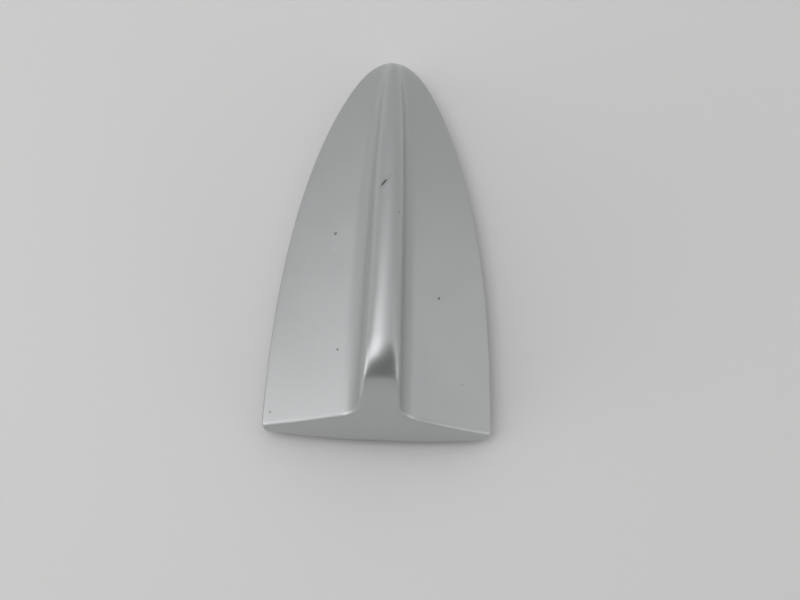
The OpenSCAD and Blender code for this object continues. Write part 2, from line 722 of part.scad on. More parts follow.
// Moulded foot that holds the blade board upright, pegged through it
module blade_carrier() {
    half_w = 3.6;
    base_t = 1.4;
    cheek_t = 1.4;
    cheek_h = 6;
    gusset = [1.2, 3.6];
    pitch = 8;
    rear = blade_rear + 4;
    front = blade_front - 4;
    color(black) union() {
        difference() {
            union() {
                translate([-half_w, rear, board_top]) cube([2 * half_w, front - rear, base_t]);
                translate([-blade_t / 2 - cheek_t, rear, board_top])
                    cube([blade_t + 2 * cheek_t, front - rear, cheek_h]);
                for (y = [rear + 3:pitch:front - 3])
                    translate([-half_w, y - gusset[0] / 2, board_top]) cube([2 * half_w, gusset[0], gusset[1]]);
            }
            translate([-blade_t / 2 - slide, rear - 1, board_top - 1])
                cube([blade_t + 2 * slide, front - rear + 2, cheek_h + 2]);
        }
        for (y = peg_y) translate([-blade_t / 2 - cheek_t / 2, y, board_top + peg_z])
            rotate([0, 90, 0]) cylinder(h = blade_t + cheek_t, r = peg_r, $fn = round_fn);
    }
}

// Solder clips between the blade board and the main board
module blade_contacts() {
    strip_t = 0.5;
    contact_w = 3;
    contact_foot = 2.2;
    contact_h = 4;
    end_gap = 0.5;
    size = [contact_foot, contact_w, contact_h];
    color(steel) for (y = [blade_rear + end_gap, blade_front - contact_w - end_gap], s = [0, 1])
        mirror([s, 0, 0]) translate([blade_t / 2, y, board_top]) difference() {
            cube(size);
            translate([strip_t, -1, strip_t]) cube(size + [0, 2, 0]);
        }
}

// Foam strips on both sides of the blade, which steady it under the crest
module foam_pads() {
    pad_l = 8;
    pad_t = 1.4;
    low = 4;
    high = 1.5;
    color(foam_grey) for (y = [blade_top_rear + 6, blade_front - 12], s = [0, 1])
        mirror([s, 0, 0]) rotate([90, 0, 90]) translate([0, 0, blade_t / 2]) linear_extrude(pad_t)
            polygon([[y, blade_top(y) - low], [y + pad_l, blade_top(y + pad_l) - low],
                [y + pad_l, blade_top(y + pad_l) - high], [y, blade_top(y) - high]]);
}

// Coaxial sockets in the spigot, open downwards
shell_r = 2.3;
shell_t = 0.4;
shell_z = rim_z + 0.2;
socket_wall = 1;
socket_floor = 0.5;
socket_roof = 3;
socket_out = socket_w - 2 * slide;
socket_in = socket_out - 2 * socket_wall;
cavity_top = board_z - socket_roof;

module socket_body(place, key) {
    // Two grooves key the plug
    groove = [1, 0.5];
    depth = cavity_top - socket_floor + 1;
    color(key) translate([place[0], place[1], socket_floor]) difference() {
        translate([-socket_out / 2, -socket_out / 2, 0]) cube([socket_out, socket_out, board_z - socket_floor]);
        translate([-socket_in / 2, -socket_in / 2, -1]) cube([socket_in, socket_in, depth]);
        cylinder(h = board_z, r = shell_r, $fn = round_fn);
        for (x = [-2, 2]) translate([x - groove[0] / 2, 0, -1])
            cube([groove[0], socket_in / 2 + groove[1], depth]);
    }
}
module socket_phone() { socket_body(socket_places[0], [0.45, 0.12, 0.2]); }
module socket_radio() { socket_body(socket_places[1], [0.75, 0.6, 0.35]); }
module socket_navigation() { socket_body(socket_places[2], [0.1, 0.25, 0.6]); }

module socket_shells() {
    color(gold) for (p = socket_places) translate([p[0], p[1], shell_z]) difference() {
        cylinder(h = board_z - shell_z, r = shell_r, $fn = round_fn);
        translate([0, 0, -1]) cylinder(h = board_z, r = shell_r - shell_t, $fn = round_fn);
    }
}
module socket_insulators() {
    base = cavity_top - 1;
    color(tape_white) for (p = socket_places) translate([p[0], p[1], base]) difference() {
        cylinder(h = board_z - base, r = shell_r - shell_t, $fn = round_fn);
        translate([0, 0, -1]) cylinder(h = board_z, r = pin_r, $fn = round_fn);
    }
}
module socket_pins() {
    pin_in = 0.6;
    pin_out = 0.8;
    color(gold) for (p = socket_places) translate([p[0], p[1], shell_z + pin_in])
        cylinder(h = board_top + pin_out - shell_z - pin_in, r = pin_r, $fn = round_fn);
}

// The clips hold the part in the roof until its bolt is tight
module retaining_clips() {
    hook = 2.5;
    bulge = 1.4;
    low = 1;
    bend = 1.6;
    x0 = spigot_w / 2 + slide;
    x1 = x0 + clip_t;
    top = plate_top + 0.02;
    color(steel) for (s = [0, 1]) mirror([s, 0, 0]) translate([0, clip_y, 0])
        rotate([90, 0, 0]) translate([0, 0, -clip_w / 2]) linear_extrude(clip_w) polygon([
            [x0 - hook, top], [x0, top], [x0, rim_z - 1], [x0 + bulge, low + bend], [x0 + 0.2, low],
            [x0 + 0.2 + clip_t, low], [x1 + bulge, low + bend], [x1, rim_z - 0.9], [x1, top + clip_t],
            [x0 - hook, top + clip_t]]);
}

cover();
roof_seal();
base_plate();
fixing_insert();
cover_screws();
main_board();
board_screws();
patch_antenna();
patch_tape();
patch_pin();
shield_frame();
shield_lid();
amplifier_chips();
filter_blocks();
coils();
capacitors();
phone_blade();
blade_carrier();
blade_contacts();
foam_pads();
socket_phone();
socket_navigation();
socket_radio();
socket_shells();
socket_insulators();
socket_pins();
retaining_clips();
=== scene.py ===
"""Roof antenna with a painted fin cover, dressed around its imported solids.

The part stands on its spigot on a pale table: +Y points to the nose, +Z up. The cover is built anew as
a fine surface with the same form as the solid it stands for, the fixing insert gets its real thread,
and every other piece keeps its solid and gets its finish.
"""

import logging
import math
from dataclasses import dataclass
from enum import Enum

import bpy
import numpy as np
from mathutils import Matrix, Vector

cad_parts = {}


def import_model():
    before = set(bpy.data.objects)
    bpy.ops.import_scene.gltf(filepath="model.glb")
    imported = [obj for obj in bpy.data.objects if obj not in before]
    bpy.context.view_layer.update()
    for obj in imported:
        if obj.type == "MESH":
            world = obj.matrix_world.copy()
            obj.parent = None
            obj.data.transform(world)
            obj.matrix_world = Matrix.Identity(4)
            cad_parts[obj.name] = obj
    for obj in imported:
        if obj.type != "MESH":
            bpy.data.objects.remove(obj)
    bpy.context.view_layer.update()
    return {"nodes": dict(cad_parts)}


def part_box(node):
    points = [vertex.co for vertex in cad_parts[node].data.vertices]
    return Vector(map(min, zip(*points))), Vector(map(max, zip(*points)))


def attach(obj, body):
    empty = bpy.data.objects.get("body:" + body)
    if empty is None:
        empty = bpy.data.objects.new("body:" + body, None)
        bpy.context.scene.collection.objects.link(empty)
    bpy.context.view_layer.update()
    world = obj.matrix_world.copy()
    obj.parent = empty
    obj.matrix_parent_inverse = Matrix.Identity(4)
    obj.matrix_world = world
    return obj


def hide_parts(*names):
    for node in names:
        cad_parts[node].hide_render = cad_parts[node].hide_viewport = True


log = logging.getLogger("roof_antenna")

MM = 0.001
BODY = "root"

Array = np.ndarray
Surface = tuple[Array, Array]
Colour = tuple[float, float, float]
Point = tuple[float, float, float]
Material = bpy.types.Material
Socket = bpy.types.NodeSocket
Outputs = bpy.types.bpy_prop_collection
Source = Socket | float | tuple
Sockets = dict[str, Source]


# Meshes

def linked(name: str, data: bpy.types.ID) -> bpy.types.Object:
    """Puts a new object into the scene.

    Args:
        name: Name of the object.
        data: Its mesh, lamp or camera.

    Returns:
        The new object.
    """
    added = bpy.data.objects.new(name, data)
    bpy.context.scene.collection.objects.link(added)
    return added


def new_piece(name: str, surface: Surface, material: Material, node: str,
              smooth: bool = True) -> bpy.types.Object:
    """Makes a mesh object that rides on the part and stands for one of its solids.

    Args:
        name: Name of the piece.
        surface: Vertices in millimetres, and triangles as rows of three vertex numbers.
        material: Finish of the whole piece.
        node: Solid that the piece stands for.
        smooth: Whether the faces are shaded as one smooth surface.

    Returns:
        The new object.
    """
    points, faces = surface
    mesh = bpy.data.meshes.new(name)
    mesh.from_pydata((points * MM).tolist(), [], faces.tolist())
    mesh.polygons.foreach_set("use_smooth", np.full(len(mesh.polygons), smooth))
    mesh.materials.append(material)
    mesh.validate()
    mesh.update()
    piece = linked(name, mesh)
    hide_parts(node)
    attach(piece, BODY)
    log.info("%s: %d triangles", name, len(faces))
    return piece


def grid_triangles(index: Array) -> Array:
    """Cuts every cell of a grid of vertex numbers into two triangles.

    Args:
        index: Vertex numbers, one row of the grid a row.

    Returns:
        Triangles as rows of three vertex numbers. A cell corner that is one point with its neighbour
        leaves only the triangle that has an area.
    """
    a, b, c, d = index[:-1, :-1], index[1:, :-1], index[1:, 1:], index[:-1, 1:]
    triangles = np.concatenate([np.stack(half, -1).reshape(-1, 3) for half in ((a, b, c), (a, c, d))])
    first, second, third = triangles.T
    return triangles[(first != second) & (second != third) & (third != first)]


def joined(parts: list[Surface]) -> Surface:
    """Puts surfaces together in one list of points and one of triangles.

    Args:
        parts: Surfaces, each as its points and its triangles.

    Returns:
        The points and the triangles of all of them.
    """
    starts = np.cumsum([0] + [len(points) for points, _ in parts[:-1]])
    points = np.concatenate([points for points, _ in parts])
    return points, np.concatenate([faces + start for (_, faces), start in zip(parts, starts)])


def turned(profile: Array, centre: tuple[float, float], sides: int) -> Surface:
    """Turns a closed profile about an upright axis.

    The point at profile place k and angle a is (centre x + r_k cos a, centre y + r_k sin a, z_k). Points
    with radius 0 are poles, and the cells beside them are triangles.

    Args:
        profile: Rows of radius and height, so that the outside lies to the right of the way along it.
        centre: Place of the axis, x and y.
        sides: Number of faces round the axis.

    Returns:
        Points and triangles of the closed surface.
    """
    angle = np.arange(sides) * 2 * np.pi / sides
    r, z = profile[:, :1], profile[:, 1:]
    points = np.stack([centre[0] + r * np.cos(angle), centre[1] + r * np.sin(angle), z + 0 * angle], -1)
    index = np.arange(len(profile) * sides).reshape(len(profile), sides)
    index = np.where(r > 0, index, index[:, :1])
    index = np.concatenate([index, index[:, :1]], 1)
    return points.reshape(-1, 3), grid_triangles(index.T)


# Form of the cover

class Segment(Enum):
    """Parts of the half section of the cover, from the rim to the crest."""

    BAND = 0
    EDGE = 1
    FLANK = 2
    ROOT = 3
    SIDE = 4
    CREST = 5


def unit(value: Array) -> Array:
    """Holds a value between 0 and 1."""
    return np.clip(value, 0.0, 1.0)


def mix(a: Array, b: Array, share: Array) -> Array:
    """Goes from a to b by the share."""
    return a + (b - a) * share


@dataclass(frozen=True)
class Places:
    """Columns of the cover's half section.

    Attributes:
        segment: Segment number of each column.
        share: Share of that segment, from its lower end.
    """

    segment: Array
    share: Array

    @classmethod
    def spread(cls, steps: dict[Segment, int]) -> "Places":
        """Spreads columns over the half section.

        Args:
            steps: Number of columns in each segment.

        Returns:
            The columns, with one more for the end of the crest.
        """
        segment = np.concatenate([np.full(steps[s], s.value) for s in Segment] + [[Segment.CREST.value]])
        share = np.concatenate([np.arange(steps[s]) / steps[s] for s in Segment] + [[1.0]])
        return cls(segment, share)

    @classmethod
    def one(cls, segment: Segment, share: float) -> "Places":
        """A single place."""
        return cls(np.array([segment.value]), np.array([share]))

    def on(self, segment: Segment) -> Array:
        """Which columns lie on a segment."""
        return self.segment == segment.value

    def first(self, segment: Segment) -> int:
        """Number of a segment's first column."""
        return int(np.argmax(self.on(segment)))


@dataclass(frozen=True)
class CoverForm:
    """Shape of the painted cover, in millimetres and degrees.

    The skin is a grid. Its columns run from the nose to the tail at a fixed place of the section, and
    then round the tail edge and down the tail face. Depth 0 is the painted skin and a larger depth lies
    that far inside the wall.

    Attributes:
        length, width, wall, rim_z: Size of the outline, the wall, and the height of the rim.
        plan_power, plan_root, nose_back, nose_run: p, q, b and n in the formula of the outline.
        nose_cut, nose_start: How far the round tip stands past the part's end, and the first row behind it.
        rim_tail, rim_nose, rim_round: Height of the upright rim at both ends, and its rounded edge.
        flank_slope, flank_onset: Slope of the flanks, and the distance over which it begins.
        fin_h, fin_run, fin_power, fin_most: Height of the fin over the flanks' meeting line, the way it
            takes to rise, the power of its rise, and its limit as a part of the half width.
        crest_r, crest_taper, taper_run, crest_most, least_crest: Radius of the crest, the part of it
            that is missing at the nose, how soon that fades, and its limits.
        crest_flat, crest_swell, flat_run: How much squarer and wider the crest is at the tail, and the
            length over which it gets so.
        side_slope, tail_slope, slope_power, side_start, side_onset: Slope of the fin's sides in front
            and at the tail, how late it changes, and how it begins where the fin is low.
        root_r, edge_r, least_radius, edge_most: Radius of the hollow root and of the rim's upper edge,
            with that edge's least radius, and its limit as a part of the half width.
        tail_lean, tail_bulge: Lean of the tail face, and how far its middle stands back past its sides.
        tail_edge, fin_edge, corner_edge, corner_share, least_edge: Width of the rounded tail edge along
            the flanks, the fin and the rim, the part of the rim's that is left above it, and the least.
        roll_l, roll_least, roll_drop: Length of the crest's roll into the tail face, its least length,
            and how far down the face it ends as a part of that.
        tail_tries, row_power, roof_steps: Rounds of the search for the tail face, how close the rows
            stand at the nose, and the columns of a segment that the roof is read from.
    """

    length: float = 152.0
    width: float = 82.0
    wall: float = 2.4
    rim_z: float = 5.0
    plan_power: float = 2.33
    plan_root: float = 1.49
    nose_back: float = 4.0
    nose_run: float = 2.2
    nose_cut: float = 0.15
    nose_start: float = 0.03
    rim_tail: float = 4.7
    rim_nose: float = 2.6
    rim_round: float = 0.3
    flank_slope: float = 28.0
    flank_onset: float = 1.3
    fin_h: float = 25.0
    fin_run: float = 150.0
    fin_power: float = 1.2
    fin_most: float = 1.2
    crest_r: float = 5.3
    crest_taper: float = 0.6
    taper_run: float = 28.0
    crest_most: float = 0.45
    least_crest: float = 0.5
    crest_flat: float = 0.8
    crest_swell: float = 0.06
    flat_run: float = 56.0
    side_slope: float = 86.5
    tail_slope: float = 85.5
    slope_power: float = 3.0
    side_start: float = 8.0
    side_onset: float = 3.0
    root_r: float = 12.0
    edge_r: float = 1.5
    least_radius: float = 0.3
    edge_most: float = 0.2
    tail_lean: float = 18.4
    tail_bulge: float = 2.0
    tail_edge: float = 1.3
    fin_edge: float = 0.9
    corner_edge: float = 2.3
    corner_share: float = 0.25
    least_edge: float = 0.6
    roll_l: float = 12.0
    roll_least: float = 6.0
    roll_drop: float = 0.9
    tail_tries: int = 12
    row_power: float = 1.5
    roof_steps: int = 12

    @property
    def lean(self) -> float:
        """Lean of the tail face in radians."""
        return math.radians(self.tail_lean)

    def slope(self, d: Array) -> Array:
        """Slope of the flanks in radians, which rises from nothing at the tip of the nose."""
        return np.arctan(math.tan(math.radians(self.flank_slope)) * (1 - np.exp(-d / self.flank_onset)))

    def half_width(self, d: Array, depth: float) -> Array:
        """Half width of the outline.

        It is W (1 - (1 - (d + b)/(L + b))^p)^(1/q) (1 - exp(-d/n))^(1/2), so the nose is round and
        stays b behind the point of the outline without its last factor.

        Args:
            d: Distance from the tip.
            depth: Depth below the painted skin.

        Returns:
            Half width in millimetres.
        """
        back = self.nose_back - depth
        rest = 1 - unit((d + back) / (self.length + back))
        nose = np.sqrt(1 - np.exp(-np.maximum(d - depth, 0) / self.nose_run))
        return (self.width / 2 - depth) * (1 - rest ** self.plan_power) ** (1 / self.plan_root) * nose

    def to_y(self, d: Array) -> Array:
        """Place along the part at distance d from the tip, and also the distance at a place y."""
        return self.length / 2 + self.nose_cut - d

    def band(self, d: Array) -> Array:
        """Height of the upright rim band, which grows with the root of the distance."""
        return mix(self.rim_nose, self.rim_tail, np.sqrt(unit(d / self.length)))

    def face_y(self, x: Array, z: Array, depth: float) -> Array:
        """Tail face, which leans forward as it rises and bulges back in plan as x squared."""
        return (-self.length / 2 + self.tail_bulge * (x / (self.width / 2)) ** 2
                + (z - self.rim_z) * math.tan(self.lean) + depth / math.cos(self.lean))

    def foot_z(self, depth: float) -> float:
        """Height of a skin's foot, which the rounded edge of the rim raises on the outside."""
        return self.rim_z + (self.rim_round if depth == 0 else 0.0)

    def section(self, places: Places, d: Array, depth: float) -> tuple[Array, Array, Array]:
        """Half section across the part, made of lines and arcs that meet in one tangent.

        From the rim up they are the band, its rounded edge, the flank, the hollow root, the side of the
        fin and the crest. The root is an arc whose radius fades where the side is short. The crest is an
        arc whose shoulders get a smaller radius, and whose top flattens, towards the tail.

        Args:
            places: Columns to work out.
            d: Distance of each point from the tip, with one column a column.
            depth: Depth below the painted skin.

        Returns:
            x, z and the slope of the section there, in radians.
        """
        a, t = self.slope(d), places.share
        w = self.half_width(d, depth)
        corner = self.rim_z + self.band(d) - depth * (1 / np.cos(a) - np.tan(a))
        fin = self.fin_h * (1 - (1 - unit(d / self.fin_run) ** self.fin_power) ** 2)
        h = np.minimum(fin + depth * (1 / np.cos(a) - 1), self.fin_most * w)
        late = unit((d - self.length + self.flat_run) / self.flat_run)
        late = late * late * (3 - 2 * late)
        full = self.crest_r * (1 - self.crest_taper * np.exp(-d / self.taper_run))
        full = full * (1 + self.crest_swell * late)
        r = np.minimum(np.maximum(full - depth, self.least_crest), self.crest_most * w)
        aft = unit(d / self.length) ** self.slope_power
        p = mix(a + math.radians(self.side_start), np.radians(mix(self.side_slope, self.tail_slope, aft)),
                1 - np.exp(-h / self.side_onset))
        side = ((h - r * (1 - np.cos(p)) + r * np.sin(p) * np.tan(a))
                / (np.sin(p) - np.cos(p) * np.tan(a)))
        root = self.root_r + depth
        q = root * (1 - np.exp(-side / np.tan((p - a) / 2) / root))
        e = np.minimum(max(self.edge_r - depth, self.least_radius), self.edge_most * w)
        shoulder = np.maximum(r - full * self.crest_flat * late, np.minimum(r, self.least_crest))
        crest = corner + w * np.tan(a) + h

        te = e * np.tan((math.pi / 2 - a) / 2)
        tr = q * np.tan((p - a) / 2)
        kx = r * np.sin(p) + side * np.cos(p)
        kz = crest - r * (1 - np.cos(p)) - side * np.sin(p)
        rx, rz = kx + tr * np.cos(a), kz - tr * np.sin(a)
        flat_x = (r - shoulder) * np.tan(p / 2)
        edge_b, turn, top_b = t * (math.pi / 2 - a), mix(a, p, t), p * (1 - t)
        choices = (
            (w, mix(self.foot_z(depth), corner - te, t), math.pi / 2),
            (w - e + e * np.cos(edge_b), corner - te + e * np.sin(edge_b), math.pi / 2 - edge_b),
            (mix(w - te * np.cos(a), rx, t), mix(corner + te * np.sin(a), rz, t), a),
            (rx + q * (np.sin(a) - np.sin(turn)), rz + q * (np.cos(a) - np.cos(turn)), turn),
            (mix(kx - tr * np.cos(p), flat_x + shoulder * np.sin(p), t),
             mix(kz + tr * np.sin(p), crest - shoulder * (1 - np.cos(p)), t), p),
            (flat_x * (1 - t * t) + shoulder * np.sin(top_b),
             crest - shoulder * (1 - np.cos(top_b)), top_b),
        )
        masks = [np.broadcast_to(places.on(s), w.shape) for s in Segment]
        return tuple(np.select(masks, [np.broadcast_to(choices[s.value][k], w.shape) for s in Segment])
                     for k in range(3))

    def points(self, places: Places, d: Array, depth: float) -> Array:
        """Points of the columns at distance d from the tip."""
        x, z, _ = self.section(places, d, depth)
        return np.stack([x, self.to_y(d), z], -1)

    def tail_distance(self, places: Places, depth: float) -> Array:
        """Distance at which each column meets the tail face, found by repeated substitution.

        Args:
            places: Columns to work out.
            depth: Depth below the painted skin.

        Returns:
            Distances from the tip.
        """
        d = np.full(places.share.shape, self.length)
        for _ in range(self.tail_tries):
            x, z, _ = self.section(places, d, depth)
            d = self.to_y(self.face_y(x, z, depth))
        return d

    def tail_point(self, segment: Segment, share: float, depth: float) -> tuple[float, float, float]:
        """Point of one column at the tail face: x, z and slope."""
        place = Places.one(segment, share)
        return tuple(float(v[0]) for v in self.section(place, self.tail_distance(place, depth), depth))

    def inner_edge(self, size: Array, depth: float) -> Array:
        """Width of a rounded tail edge, which loses a third of the depth."""
        return np.maximum(size - depth / 3, self.least_edge)

    def edge_setback(self, places: Places, depth: float) -> Array:
        """Setback of the rounded tail edge: wide at the two corners, narrow along the flanks and the fin.

        Args:
            places: Columns to work out.
            depth: Depth below the painted skin.

        Returns:
            Setback of each column.
        """
        band, edge = mix(1.0, self.corner_share, places.share), mix(self.corner_share, 0.0, places.share)
        share = np.select([places.on(Segment.BAND), places.on(Segment.EDGE)], [band, edge], 0.0)
        return self.inner_edge(mix(self.tail_edge, self.corner_edge, share), depth)

    def roll(self, depth: float) -> float:
        """Length of the crest's roll into the tail face."""
        return max(self.roll_l - depth, self.roll_least)

    def setback(self, places: Places, depth: float) -> Array:
        """Setback of each column from the tail face, long where the crest rolls over into it.

        Args:
            places: Columns to work out.
            depth: Depth below the painted skin.

        Returns:
            Setback of each column.
        """
        edge = self.edge_setback(places, depth)
        roll = self.roll(depth)
        return np.select([places.on(Segment.CREST), places.on(Segment.SIDE)],
                         [np.full_like(edge, roll), mix(edge, roll, places.share ** 2)], edge)

    def inset(self, places: Places, depth: float) -> tuple[Array, Array, Array]:
        """Where the rounded tail edge meets the flat face.

        Along the sides of the fin these points rise from the root to the level at which the roll of the
        crest ends, and across the crest they stay at that level. The step that this line would make at
        the root is blended out up the side, as (1 - share)^2.

        Args:
            places: Columns to work out.
            depth: Depth below the painted skin.

        Returns:
            x, z and the part of x by which the edge is drawn in.
        """
        x, z, slope = self.section(places, self.tail_distance(places, depth), depth)
        low = self.edge_setback(places, depth)
        crest, side = places.on(Segment.CREST), places.on(Segment.SIDE)
        up = np.select([crest, side], [1.0, places.share], 0.0)
        e = mix(low, self.inner_edge(self.fin_edge, depth), up)
        shoulder_x, shoulder_z, _ = self.tail_point(Segment.CREST, 0.0, depth)
        foot_x, foot_z, foot_slope = self.tail_point(Segment.SIDE, 0.0, depth)
        level = self.tail_point(Segment.CREST, 1.0, depth)[1] - self.roll_drop * self.roll(depth)
        up_z = np.where(crest, level, mix(foot_z - low * math.cos(foot_slope), level, places.share))
        share = np.where(crest, x / shoulder_x, 1.0)
        up_x = (shoulder_x + (shoulder_z - up_z) / math.tan(math.radians(self.tail_slope)) - e) * share
        step = foot_x - low * math.sin(foot_slope) - up_x[places.first(Segment.SIDE)]
        up_x = up_x + np.where(crest, 0.0, step * (1 - places.share) ** 2)
        upper = crest | side
        return (np.where(upper, up_x, x - e * np.sin(slope)),
                np.where(upper, up_z, z - e * np.cos(slope)), np.where(upper, e * share, 0.0))

    def foot_x(self, places: Places, bx: Array) -> Array:
        """Foot on the rim of the face line that starts at each column.

        The feet stand evenly along the rim edge, the flank and the upper part, and straight below their
        starts along the root.

        Args:
            places: Columns to work out.
            bx: x of the start of each line.

        Returns:
            x of each foot.
        """
        column = np.arange(len(bx))
        flank, root, side = (places.first(s) for s in (Segment.FLANK, Segment.ROOT, Segment.SIDE))
        corner = bx[0] - 2 * self.edge_r
        edge = mix(bx[0], corner, column / flank)
        low = mix(corner, bx[root], (column - flank) / (root - flank))
        high = bx[side] * (1 - (column - side) / (len(bx) - 1 - side))
        return np.select([column <= flank, column <= root, column < side], [edge, low, bx], high)

    def skin(self, steps: dict[Segment, int], rows: tuple[int, int, int], depth: float) -> Array:
        """Grid of one skin of the cover.

        Body rows sit at distance d = d0 + (d2 - d0) (i/n)^1.5. Tail edge rows are points of a quadratic
        curve from the body's end over the crease to the inset point, drawn in by t^3. Face rows go
        straight down the tail face to its foot. The -X half mirrors the +X half.

        Args:
            steps: Number of columns in each segment of the half section.
            rows: Number of body, tail edge and face rows.
            depth: Depth below the painted skin.

        Returns:
            Points in millimetres, with rows from nose to foot and columns from the +X rim to the -X rim.
        """
        places = Places.spread(steps)
        body, edge, face = rows
        d0 = self.nose_start + depth
        d1 = self.tail_distance(places, depth)
        d2 = d1 - self.setback(places, depth)
        d = d0 + (d2 - d0) * (np.arange(body) / body)[:, None] ** self.row_power
        body_points, start, crease = (self.points(places, at, depth) for at in (d, d2, d1))

        bx, bz, drawn = self.inset(places, depth)
        end = np.stack([bx + drawn, self.face_y(bx, bz, depth), bz], -1)
        t = np.linspace(0, 1, edge + 1)[:, None, None]
        pull = np.stack([drawn, 0 * drawn, 0 * drawn], -1)
        edge_points = (1 - t) ** 2 * start + 2 * t * (1 - t) * crease + t * t * end - pull * t ** 3

        t = (np.arange(1, face + 1) / face)[:, None]
        fx, fz = mix(bx, self.foot_x(places, bx), t), mix(bz, self.foot_z(depth), t)
        face_points = np.stack([fx, self.face_y(fx, fz, depth), fz], -1)

        right = np.concatenate([body_points, edge_points, face_points])
        return np.concatenate([right, right[:, -2::-1] * [-1, 1, 1]], 1)

    def roof(self, x: Array, y: Array, depth: float) -> Array:
        """Height of a skin over each point, the lower of the body surface and the tail face.

        The body's half section at the point's own distance is read at the point's x.

        Args:
            x: Place across the part.
            y: Place along the part.
            depth: Depth below the painted skin.

        Returns:
            Height in millimetres.
        """
        places = Places.spread({s: self.roof_steps for s in Segment})
        x, y = np.abs(np.ravel(x)), np.ravel(y)
        d = np.broadcast_to(self.to_y(y)[:, None], (len(y), len(places.share)))
        sx, sz, _ = self.section(places, d, depth)
        body = np.array([np.interp(u, row_x[::-1], row_z[::-1]) for u, row_x, row_z in zip(x, sx, sz)])
        face = self.rim_z + (y - self.face_y(x, np.full_like(x, self.rim_z), depth)) / math.tan(self.lean)
        return np.minimum(body, face)


# Node trees

class Tree:
    """Builds one node tree. Most methods add a node and return the socket that carries its result."""

    def __init__(self, tree: bpy.types.NodeTree) -> None:
        """Starts on an empty tree.

        Args:
            tree: Node tree of a material, a world or a group.
        """
        self.tree = tree
        self.tree.nodes.clear()

    def node(self, kind: str, sources: dict[str | int, Source] | None = None,
             **settings: object) -> bpy.types.Node:
        """Adds a node.

        Args:
            kind: Type of the node.
            sources: What feeds its inputs, by their names or numbers.
            settings: Properties of the node itself.

        Returns:
            The new node.
        """
        node = self.tree.nodes.new(kind)
        for name, value in settings.items():
            setattr(node, name, value)
        for name, source in (sources or {}).items():
            self.feed(node.inputs[name], source)
        return node

    def feed(self, socket: Socket, source: Source) -> None:
        """Links a socket to its source, or sets the socket's own value where the source is a constant.

        Args:
            socket: Input to feed.
            source: Socket, number, vector or colour that feeds it.
        """
        if isinstance(source, Socket):
            self.tree.links.new(source, socket)
        elif isinstance(source, tuple) and len(source) == 3 and len(socket.default_value) == 4:
            socket.default_value = (*source, 1.0)
        else:
            socket.default_value = source

    def axis(self, place: Source, name: str) -> Socket:
        """One coordinate of a place."""
        return self.node("ShaderNodeSeparateXYZ", {0: place}).outputs[name]

    def mapped(self, place: Source, centre: Point, turn: Point = (0.0, 0.0, 0.0),
               size: Point = (1.0, 1.0, 1.0)) -> Socket:
        """Place seen from a centre, turned and in units of the given size."""
        sources = {"Vector": place, "Location": centre, "Rotation": turn, "Scale": size}
        return self.node("ShaderNodeMapping", sources, vector_type="TEXTURE").outputs[0]

    def math(self, operation: str, *sources: Source, clamp: bool = False) -> Socket:
        """Arithmetic on one to three numbers."""
        return self.node("ShaderNodeMath", dict(enumerate(sources)), operation=operation,
                         use_clamp=clamp).outputs[0]

    def vector(self, operation: str, sources: dict[str | int, Source], output: str) -> Socket:
        """Arithmetic on vectors."""
        return self.node("ShaderNodeVectorMath", sources, operation=operation).outputs[output]

    def ramp(self, value: Source, low: float, high: Source, to_low: float = 0.0,
             to_high: float = 1.0) -> Socket:
        """Smooth step from one value at low to another at high."""
        sources = {"Value": value, "From Min": low, "From Max": high, "To Min": to_low, "To Max": to_high}
        return self.node("ShaderNodeMapRange", sources, interpolation_type="SMOOTHSTEP").outputs[0]

    def noise(self, place: Source, scale: Source, detail: float) -> Socket:
        """Soft noise from 0 to 1, with scale waves a metre."""
        sources = {"Vector": place, "Scale": scale, "Detail": detail}
        return self.node("ShaderNodeTexNoise", sources).outputs["Fac"]

    def cells(self, place: Source, scale: Source) -> Outputs:
        """Irregular cells, scale of them a metre: the distance to their middles and their colours."""
        return self.node("ShaderNodeTexVoronoi", {"Vector": place, "Scale": scale}).outputs

    def blend(self, share: Source, a: Source, b: Source) -> Socket:
        """Colour that goes from a to b by the share."""
        return self.node("ShaderNodeMix", {0: share, 6: a, 7: b}, data_type="RGBA").outputs[2]

    def bump(self, height: Source, depth: float) -> Socket:
        """Normal of a surface that rises by depth metres where the height is 1."""
        sources = {"Strength": 1.0, "Distance": depth, "Height": height}
        return self.node("ShaderNodeBump", sources).outputs[0]

    def group(self, group: bpy.types.NodeTree, **sources: Source) -> Outputs:
        """Places a node group with its own values, and returns its outputs."""
        named = {name.capitalize(): source for name, source in sources.items()}
        return self.node("ShaderNodeGroup", named, node_tree=group).outputs


